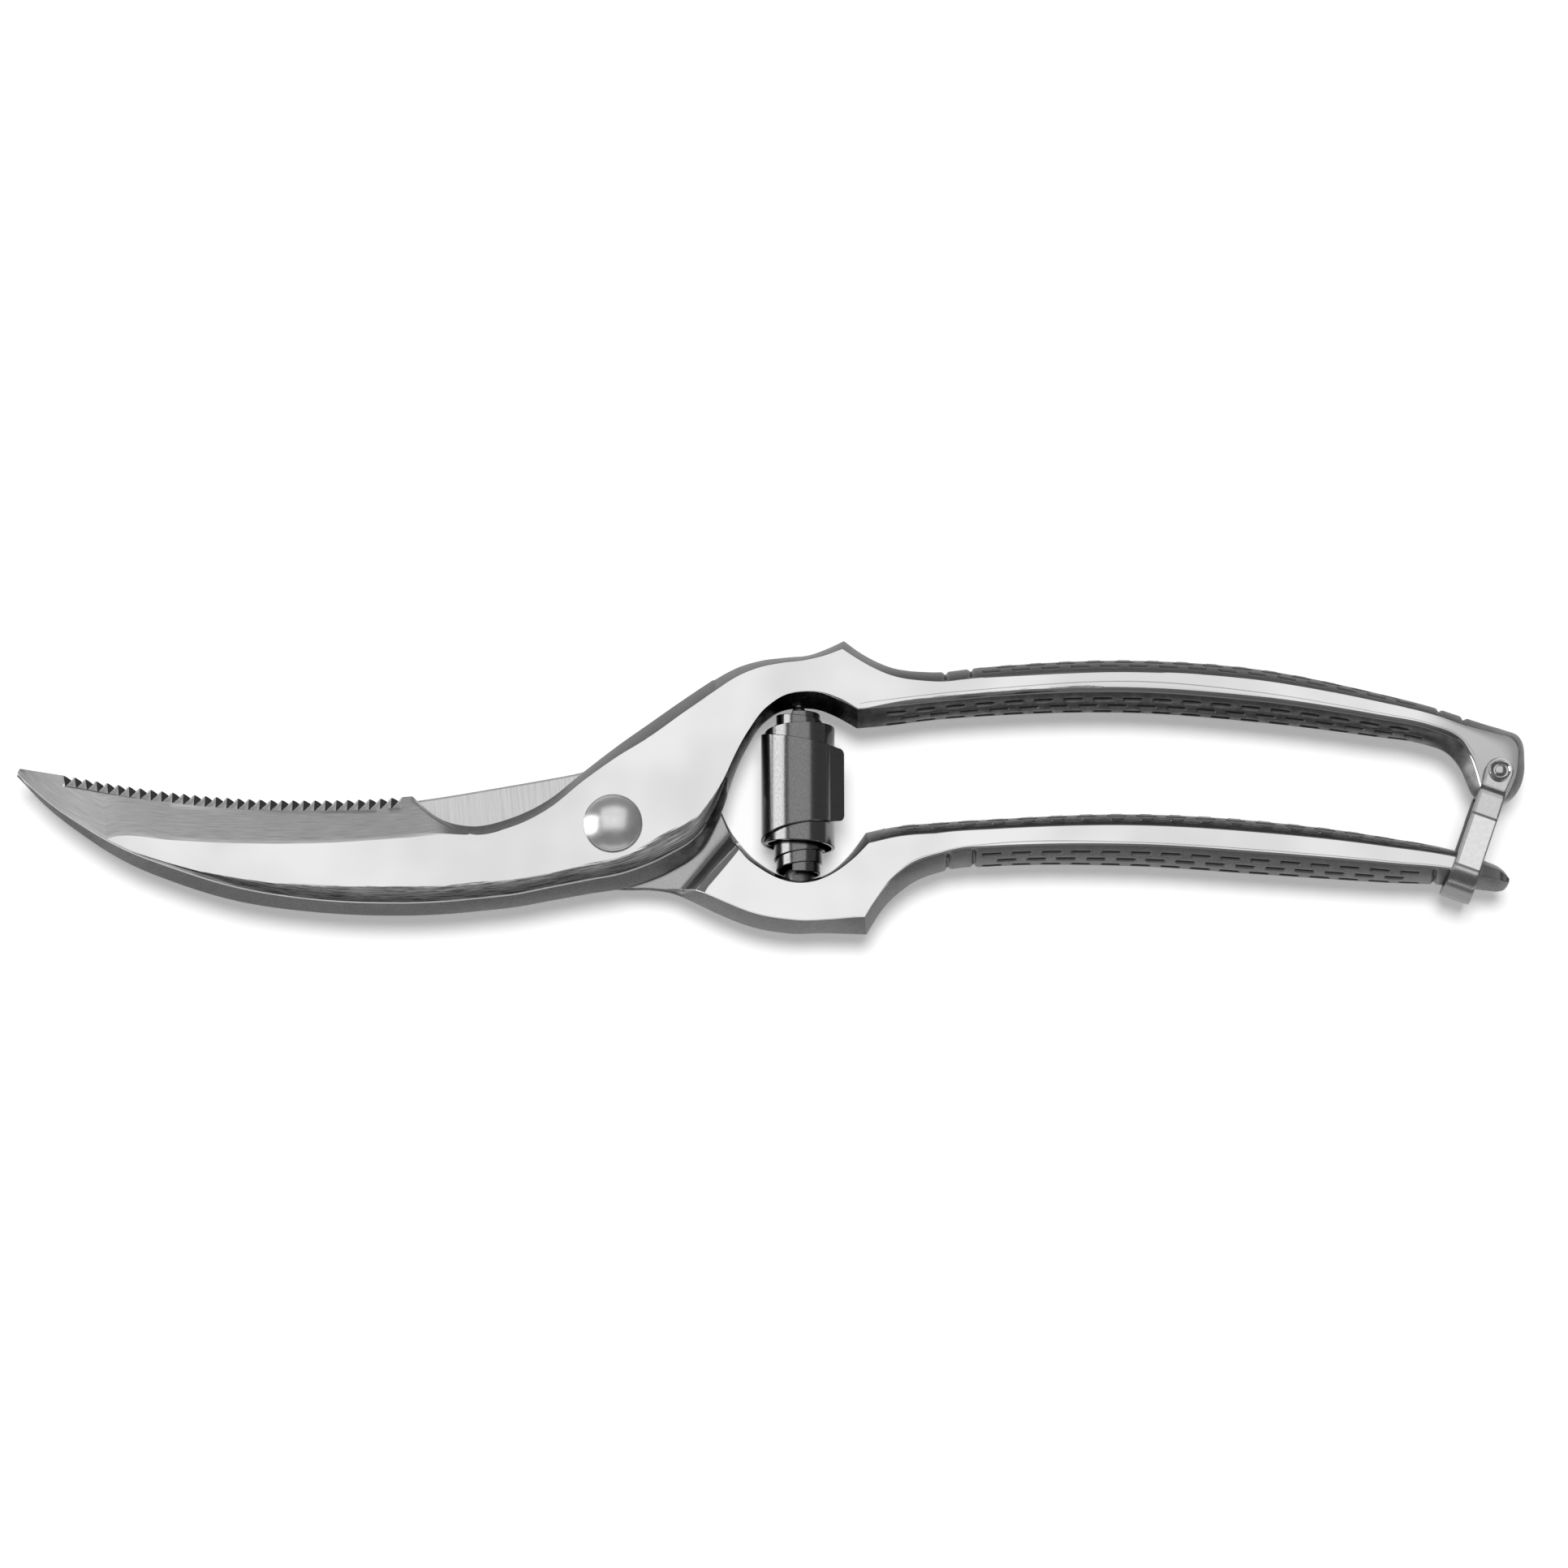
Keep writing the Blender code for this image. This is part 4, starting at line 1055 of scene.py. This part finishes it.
def plain_steel(name, low, high, roughness, grain=(1, 1, 1), scale=4.0, bump=0.25, metal=1.0):
    g = Graph(name)
    texture = g.noise(g.place(stretch=grain), scale, 4.0, 0.65)
    return g.finish(
        Base_Color=g.blend(texture.step(0.3, 0.7), grey(low), grey(high)), Metallic=metal,
        Roughness=(texture * 0.12 + roughness).clamp(),
        Normal=g.bump(texture, bump, 0.012),
    )


def spun(profile, around):
    """Grids of the distances across the axis, one way and the other, and of the way along it."""
    angle = np.linspace(0, 2 * math.pi, around, endpoint=False)
    radius, along = np.array(profile, float).T[:, :, None]
    radius = np.maximum(radius, ON_AXIS)
    return radius * np.cos(angle), radius * np.sin(angle), along + 0 * angle


def turned(name, profile, at=PIVOT, around=96):
    x, y, z = spun(profile, around)
    return grid_object(name, np.stack([at[0] + x, at[1] + y, z], axis=-1), sharp=30)


def dress(thing, material, body, node):
    wear(thing, material)
    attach(thing, body)
    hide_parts(node)


print("every turned piece is a profile and an axis")

# %% [markdown]
# The bolt's low dome is part of a ball, so its radius follows from the dome's width and height.
# It is polished, but not to a mirror: a bolt head is finished on a soft wheel.

# %% Pivot bolt
BOLT_STEEL = plain_steel("polished bolt steel", 0.62, 0.72, 0.24, scale=0.4, bump=0.05, metal=0.86)
_, bolt_top = box_mm("pivot_bolt")
DOME, DOME_HEIGHT, HEAD_LOW, SHANK = float(bolt_top[0]), 2.0, TOP + 0.2, 3.0
ball = (DOME**2 + DOME_HEIGHT**2) / (2 * DOME_HEIGHT)
cap = [
    (ball * math.sin(a), float(bolt_top[2]) - ball + ball * math.cos(a))
    for a in np.linspace(0, math.asin((DOME - 0.12) / ball), 14)
]
bolt = turned("bolt", cap + [
    (DOME, HEAD_LOW + 0.3), (DOME, HEAD_LOW + 0.08), (DOME - 0.08, HEAD_LOW), (SHANK, HEAD_LOW),
    (SHANK, 0.3), (SHANK - 0.3, 0.0), (0, 0.0),
])
dress(bolt, BOLT_STEEL, "front_half", "pivot_bolt")
print(f"dome {2 * DOME:.1f} mm wide on a ball of radius {ball:.1f} mm")

# %% [markdown]
# Underneath, a slotted round nut holds the bolt, on a thin washer. The slot is cut with a
# four-sided prism, stretched into a long bar.

# %% Nut and washer
NUT_STEEL = plain_steel("turned nut steel", 0.30, 0.42, 0.30)
NUT_SLOT = 1.4
_, nut_top = box_mm("pivot_nut")
NUT, NUT_TOP = float(nut_top[0]), float(nut_top[2])
nut = turned("nut", [
    (SHANK + 0.25, NUT_TOP), (NUT - 0.25, NUT_TOP), (NUT, NUT_TOP - 0.25), (NUT, 0.35),
    (NUT - 0.35, 0.0), (SHANK + 0.5, 0.0), (SHANK + 0.25, 0.25), (SHANK + 0.25, NUT_TOP),
])
slot_cutter = cylinder(1.0, -0.4, 0.6, segments=4)
slot_cutter.scale = (30.0, NUT_SLOT / math.sqrt(2), 1.0)
slot_cutter.data.transform(slot_cutter.matrix_basis)
slot_cutter.matrix_basis.identity()
cut(nut, slot_cutter)
dress(nut, NUT_STEEL, "front_half", "pivot_nut")
RIM, WASHER_TOP, WASHER_LOW = washer_top[0], washer_top[2], washer_low[2]
washer = turned("washer", [
    (SHANK + 0.25, WASHER_TOP), (RIM - 0.1, WASHER_TOP), (RIM, WASHER_TOP - 0.1),
    (RIM, WASHER_LOW + 0.1), (RIM - 0.1, WASHER_LOW), (SHANK + 0.25, WASHER_LOW),
    (SHANK + 0.25, WASHER_TOP),
])
dress(washer, NUT_STEEL, "front_half", "pivot_washer")
print(f"nut {2 * NUT:.1f} mm, washer {2 * RIM:.1f} mm")

# %% [markdown]
# The rivet of the lock is one small turned piece with a head at each end. Its upper head has a
# button in the middle and a ring pressed round it, where the punch closed it.

# %% Lock rivet
HEAD, RIVET_TOP, RIVET_LOW = float(rivet_top[0] - RIVET[0]), rivet_top[2], rivet_low[2]
rivet = turned("rivet", [
    (0, RIVET_TOP), (0.5, RIVET_TOP - 0.02), (0.75, RIVET_TOP - 0.12), (0.88, RIVET_TOP - 0.34),
    (1.1, RIVET_TOP - 0.42), (1.4, RIVET_TOP - 0.34), (1.62, RIVET_TOP - 0.16),
    (HEAD - 0.1, RIVET_TOP - 0.08), (HEAD, RIVET_TOP - 0.2), (HEAD, RIVET_TOP - 0.6),
    (1.2, RIVET_TOP - 0.6), (1.2, RIVET_LOW + 0.6), (HEAD, RIVET_LOW + 0.6),
    (HEAD, RIVET_LOW + 0.3), (HEAD - 0.3, RIVET_LOW), (0, RIVET_LOW),
], at=RIVET, around=48)
RIVET_STEEL = plain_steel("rivet steel", 0.44, 0.52, 0.10, bump=0.06)
dress(rivet, RIVET_STEEL, "front_half", "lock_rivet")
print(f"rivet head {2 * HEAD:.1f} mm")

# %% [markdown]
# ## The lock
#
# A strip of steel with a round ear at each end is bent into a loop. It steps out from the ears
# to clear the handle, runs down beside it and turns round under it. The strip is followed from
# ear to ear: reach is the distance from the rivet. Only the upper leg is written down, because
# the lower one is its mirror image. Bends and the edges of the ears are duller than the leg, and
# they, the edges of the strip and the lower leg are also painted darker as shade, so the strip
# carries a mask for both.

# %% The line of the strip
LOOP_TURN = math.radians(249.7)  # where the loop points at rest
EAR, EAR_Z = 2.35, 9.6
STRAP, REACH = 1.2, 22.0
# reach, height, half width and dullness with painted shade up to each knee of the strip
LOOP_KNEES = [
    (2.7, 9.6, 2.15, 0.25), (3.1, 9.62, 2.15, 0.4), (3.5, 9.72, 2.15, 0.5), (4.0, 10.0, 2.2, 0.6),
    (4.4, 10.2, 2.25, 0.4), (8.25, 10.66, 2.25, 0.22), (8.40, 10.64, 2.22, 0.85),
    (17.6, 10.7, 2.25, 0.0), (17.75, 10.67, 2.25, 0.8),
]


def loop_line():
    """(reach, height above the middle, half width, dullness and painted shade) along the strip,
    upper half first.
    """
    line = []
    for a in np.radians(np.linspace(0, 90, 13)):
        line.append((-EAR * math.cos(a), EAR_Z, max(0.25, EAR * math.sin(a)), 0.25))
    for reach, height, half, dull_and_shade in LOOP_KNEES:
        last = line[-1]
        steps = max(2, round((reach - last[0]) / 0.45))
        for k in range(1, steps + 1):
            t = k / steps
            line.append((
                last[0] + (reach - last[0]) * t, last[1] + (height - last[1]) * t,
                last[2] + (half - last[2]) * float(smooth(t, 0, 1)), dull_and_shade,
            ))
    start, leg = line[-1][0], line[-1][1] - MIDDLE
    # the bend is painted darker towards its end, as painted shade
    for a in np.radians(np.linspace(6, 90, 15)):
        line.append((
            start + (REACH - start) * math.sin(a), MIDDLE + leg * math.cos(a),
            2.25 + 0.3 * math.sin(a), 0.30 + 0.45 * math.sin(a),
        ))
    # the lower leg, under the handle, is painted dark as shade
    return line + [(r, 2 * MIDDLE - h, w, 0.95) for r, h, w, _ in reversed(line[:-1])]


print(len(loop_line()), "places along the strip")

# %% [markdown]
# The strip's section is a thin rectangle with softened corners, carried along the line.

# %% Lock loop
# how dull the strip's edges and its top corner are, and how dark they are painted as shade
EDGE_DULL_AND_SHADE, CORNER_DULL_AND_SHADE = 0.7, 0.5
TOP_CORNER = 3  # the place in the section below where the face that shows meets the edge


def strap_loop():
    line = np.array(loop_line())
    way = np.gradient(line[:, :2], axis=0)
    way /= np.linalg.norm(way, axis=1)[:, None]
    outside = np.stack([-way[:, 1], way[:, 0]], axis=-1)
    half, soft = STRAP / 2, 0.18
    corner = [
        (-1, 0, -half + soft), (-1, 0, half - soft), (-1, soft * 0.3, half - soft * 0.3),
        (-1, soft, half), (-0.74, 0, half), (0, 0, half), (0.74, 0, half), (1, -soft, half),
        (1, -soft * 0.3, half - soft * 0.3), (1, 0, half - soft), (1, 0, -half + soft),
        (1, -soft * 0.3, -half + soft * 0.3), (1, -soft, -half), (0, 0, -half), (-1, soft, -half),
        (-1, soft * 0.3, -half + soft * 0.3),
    ]
    along = np.array([math.cos(LOOP_TURN), math.sin(LOOP_TURN)])
    side = np.array([-along[1], along[0]])
    points = np.zeros((len(line), len(corner), 3))
    for k, (edge, move, lift) in enumerate(corner):
        reach = line[:, 0] + outside[:, 0] * lift
        across = edge * line[:, 2] + move
        points[:, k, :2] = RIVET + reach[:, None] * along + across[:, None] * side
        points[:, k, 2] = line[:, 1] + outside[:, 1] * lift
    # the strip's side edges and its soft top corner are duller and painted darker, as painted
    # shade
    edges = [EDGE_DULL_AND_SHADE if abs(c[0]) == 1 and abs(c[1]) < 0.1 else 0.0 for c in corner]
    edges[TOP_CORNER] = CORNER_DULL_AND_SHADE
    dull_and_shade = np.maximum(line[:, 3][:, None], np.array(edges)[None, :])
    return grid_object("loop_strap", points, {"dull_and_shade": dull_and_shade})


def strap_steel():
    """Bright on the leg that shows; duller and painted dark as shade where the strip was bent,
    along its edges and on the lower leg.
    """
    g = Graph("loop steel")
    texture = g.noise(g.place(), 1.5, 2.0, 0.5)
    dull_and_shade = g.attribute("dull_and_shade")
    bright = g.blend(texture.step(0.3, 0.7), grey(0.64), grey(0.69))
    return g.finish(
        Base_Color=g.blend(dull_and_shade, bright, grey(0.07)), Metallic=1.0,
        Roughness=(texture * 0.06 + 0.11 + dull_and_shade * 0.2).clamp(), Normal=g.bump(texture, 0.08, 0.01),
    )


STRAP_STEEL = strap_steel()
strap = strap_loop()
dress(strap, STRAP_STEEL, "loop", "lock_loop")
print("loop:", len(strap.data.polygons), "faces")

# %% [markdown]
# ## The volute spring
#
# The spring is one strip of dark spring steel. It starts at a narrow, rounded tab, grows wider
# as it winds round the barrel, and then forks: one branch climbs inwards to a small coil on the
# nub of the front half, the other one down to the nub of the back half. When the shears open,
# the coils slide out of the barrel like a telescope. The barrel and each cone are built as pieces
# of their own.

# %% A wound strip
SPRING_X, SPRING_Y = 31.2, 6.1


def coil(name, turns, radius, low, high, strip):
    """A strip wound round a line along Y, over the top from +X. low and high are its rims."""
    soft, half = 0.1, strip / 2
    rows = [
        (half - soft, 0.0, 0), (half, soft, 0), (half, 0, 0.25), (half, 0, 0.5), (half, 0, 0.75),
        (half, -soft, 1), (half - soft, 0.0, 1), (-half, 0, 1), (-half, 0, 0.5), (-half, 0, 0),
    ]
    x, z = radius
    points = np.zeros((len(turns), len(rows), 3))
    way = np.stack([np.gradient(x), np.gradient(z)], axis=-1)
    way /= np.linalg.norm(way, axis=1)[:, None]
    outer = np.stack([way[:, 1], -way[:, 0]], axis=-1)
    for k, (out, move, share) in enumerate(rows):
        points[:, k, 0] = SPRING_X + x + outer[:, 0] * out
        points[:, k, 2] = MIDDLE + z + outer[:, 1] * out
        points[:, k, 1] = SPRING_Y + low + (high - low) * share + move
    return grid_object(name, points, sharp=40)


print(f"the spring lies along Y at x {SPRING_X} mm")

# %% [markdown]
# The outer end of the strip leaves the barrel as a straight tab with rounded corners. The tab
# and the winding share one line: the first 26 places are the tab, and the turns grow from there.

# %% Barrel
BARREL_LIFT = 0.8
TAB_TURN, TAB_SPAN = 0.1, 0.16
TAB_CORNER, TAB_LENGTH = 0.9, 2.8


def barrel():
    turns = np.concatenate([
        np.linspace(TAB_TURN - TAB_SPAN, TAB_TURN, 26), np.linspace(0.105, 1.6, 190),
    ])
    wound = np.maximum(turns, TAB_TURN)
    radius = 6.42 - 0.62 * wound
    tab = np.clip((TAB_TURN - turns) / TAB_SPAN, 0, 1)
    x = radius * np.cos(2 * math.pi * wound) + 2.35 * tab
    z = radius * np.sin(2 * math.pi * wound) - 1.55 * tab
    end = np.where(tab > 0, np.maximum(0, TAB_CORNER - TAB_LENGTH * (1 - tab)), 0)
    corner = TAB_CORNER - np.sqrt(TAB_CORNER**2 - end**2)
    half = np.interp(
        turns, [0, 0.1, 0.2, 0.3, 0.4, 0.5, 0.75, 1.0, 1.25, 1.5, 1.6],
        [6.3, 6.6, 7.0, 7.7, 8.6, 9.4, 10.0, 10.5, 10.2, 9.6, 9.3],
    ) - corner
    return coil("spring_barrel", turns, (x, z), BARREL_LIFT - half, BARREL_LIFT + half, 0.55)


spring_barrel = barrel()
print(spring_barrel.name, len(spring_barrel.data.polygons), "faces")

# %% [markdown]
# The two inner coils are one function, with 1 for the end at the front half and -1 for the other
# one.

# %% Inner coils
STRETCH = 200  # well past both ends of the spring
NUB_END, BARREL_END = 13.3, 8.3


def cone(name, side):
    turns = np.linspace(0, 2.3, 230)
    angle = 2 * math.pi * turns
    radius = 4.2 - 0.36 * turns
    rim = np.interp(
        turns, [0, 0.2, 0.5, 1.0, 1.2, 1.5, 2.3], [10.2, 10.6, 11.8, 12.3, 12.6, 13.5, 13.6]
    )
    rim = rim + 0.6 * smooth(turns, 1.2, 2.0) * (side < 0)
    mouth = 2.5 + 0 * rim
    low, high = (mouth, rim) if side > 0 else (-rim, -mouth)
    return coil(name, turns, (radius * np.cos(angle), radius * np.sin(angle)), low, high, 0.34)


SPRING_STEEL = plain_steel("spring steel", 0.15, 0.21, 0.14, grain=(1, 3, 1), scale=7.0, bump=0.06)
for piece, start, end in (
    (spring_barrel, SPRING_Y + STRETCH, SPRING_Y - STRETCH),
    (cone("spring_cone_front", 1), SPRING_Y + NUB_END, SPRING_Y - BARREL_END),
    (cone("spring_cone_back", -1), SPRING_Y + BARREL_END, SPRING_Y - NUB_END),
):
    wear(piece, SPRING_STEEL)
    start * MM
    end * MM
    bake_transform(piece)
    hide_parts("volute_spring")
    print(piece.name, len(piece.data.polygons), "faces")

# %% [markdown]
# Each end coil sits over a nub that is forged with the half. The front one is slim and shows
# above the coil; the back one is a low button.

# %% Spring nubs
def nub(name, wall, towards, body, node, profile):
    """A turned piece round a line along Y, standing out of the eye's wall."""
    x, z, out = spun(profile, 48)
    points = np.stack([SPRING_X + x, wall + towards * out, MIDDLE + z], axis=-1)
    steel = plain_steel(name + " steel", 0.08, 0.20, 0.3)
    dress(grid_object(name, points, sharp=30), steel, body, node)


nub("front_nub", 20.7, -1, "front_half", "front_blade_half", [
    (0, 2.0), (0.9, 1.9), (1.2, 1.5), (1.25, 0.6), (1.1, 0.1), (0.8, -0.3), (0.8, -1.6), (0, -1.6),
])
nub("back_nub", -8.8, 1, "back_half", "back_blade_half", [
    (0, 1.9), (1.6, 1.8), (2.3, 1.3), (2.6, 0.5), (2.6, -1.6), (0, -1.6),
])
print("a nub on each side of the eye")

# %% [markdown]
# ## Studio
#
# The camera looks down on the shears from 14 degrees off the upright, far enough away for the
# handles not to grow towards the lens. Its lens follows from the distance and from the width
# that it has to take in.

# %% Camera
CENTRE = Vector((28.7 * MM, 7.7 * MM, MIDDLE * MM))
TILT, DISTANCE, VIEW_WIDTH = math.radians(14), 0.74, 0.265
lens = bpy.data.cameras.new("camera")
lens.sensor_width = 36
lens.lens = lens.sensor_width * DISTANCE / VIEW_WIDTH
camera = add("camera", lens, CENTRE + Vector((0, -math.sin(TILT), math.cos(TILT))) * DISTANCE)
camera.rotation_euler = (TILT, 0, 0)
bpy.context.scene.camera = camera
print(f"lens {lens.lens:.0f} mm at {DISTANCE} m")

# %% [markdown]
# The floor is pale and gives a little light of its own, which keeps it white right up to the
# shadow. It lies just under the shears, so that it doesn't share a face with the nut and bolt.

# %% Floor
bm = bmesh.new()
bmesh.ops.create_grid(bm, x_segments=1, y_segments=1, size=1.5)
sheet = bpy.data.meshes.new("floor")
bm.to_mesh(sheet)
bm.free()
floor = add("floor", sheet, (0, 0, -0.3 * MM))
wear(floor, Graph("studio floor").finish(
    Base_Color=grey(0.9), Roughness=0.8, Emission_Color=grey(1.0), Emission_Strength=0.30
))
print("floor", tuple(floor.dimensions))

# %% [markdown]
# Steel shows what is round it, so the panels are placed for their reflections and don't light
# the floor. The big one overhead and behind fills the polished flats. The one on the left puts
# the bright patch on the dome, and the low strip in front draws the thin lights along the walls.
# A broad, soft sun from the far side lays the shadow towards the viewer.

# %% Light
AIM = Vector((0.03, 0, 0))


def panel(name, place, size, brightness):
    light = bpy.data.lights.new(name, "AREA")
    light.shape, light.size, light.size_y = "RECTANGLE", *size
    light.energy = math.pi * size[0] * size[1] * brightness
    lamp = add(name, light, place)
    lamp.visible_diffuse = False
    lamp.rotation_euler = (Vector(place) - AIM).to_track_quat("Z", "Y").to_euler()


panel("overhead", (0.03, 0.42, 1.1), (1.5, 1.45), 0.92)
panel("left", (-1.0, 0.1, 0.45), (0.7, 0.8), 4.0)
panel("front", (0.03, -1.0, 0.45), (1.8, 0.10), 1.8)
sun = bpy.data.lights.new("far side", "SUN")
sun.energy, sun.angle = 2.15, math.radians(28)
lamp = add("far side", sun, (0, 0, 1))
lamp.rotation_euler = (math.radians(-10), 0, 0)
lamp.visible_glossy = False

world = bpy.data.worlds.new("studio")
world.use_nodes = True
world.node_tree.nodes["Background"].inputs["Color"].default_value = grey(0.18)
bpy.context.scene.world = world
bpy.context.scene.view_settings.view_transform = "Standard"
print(len(bpy.data.lights), "lights")
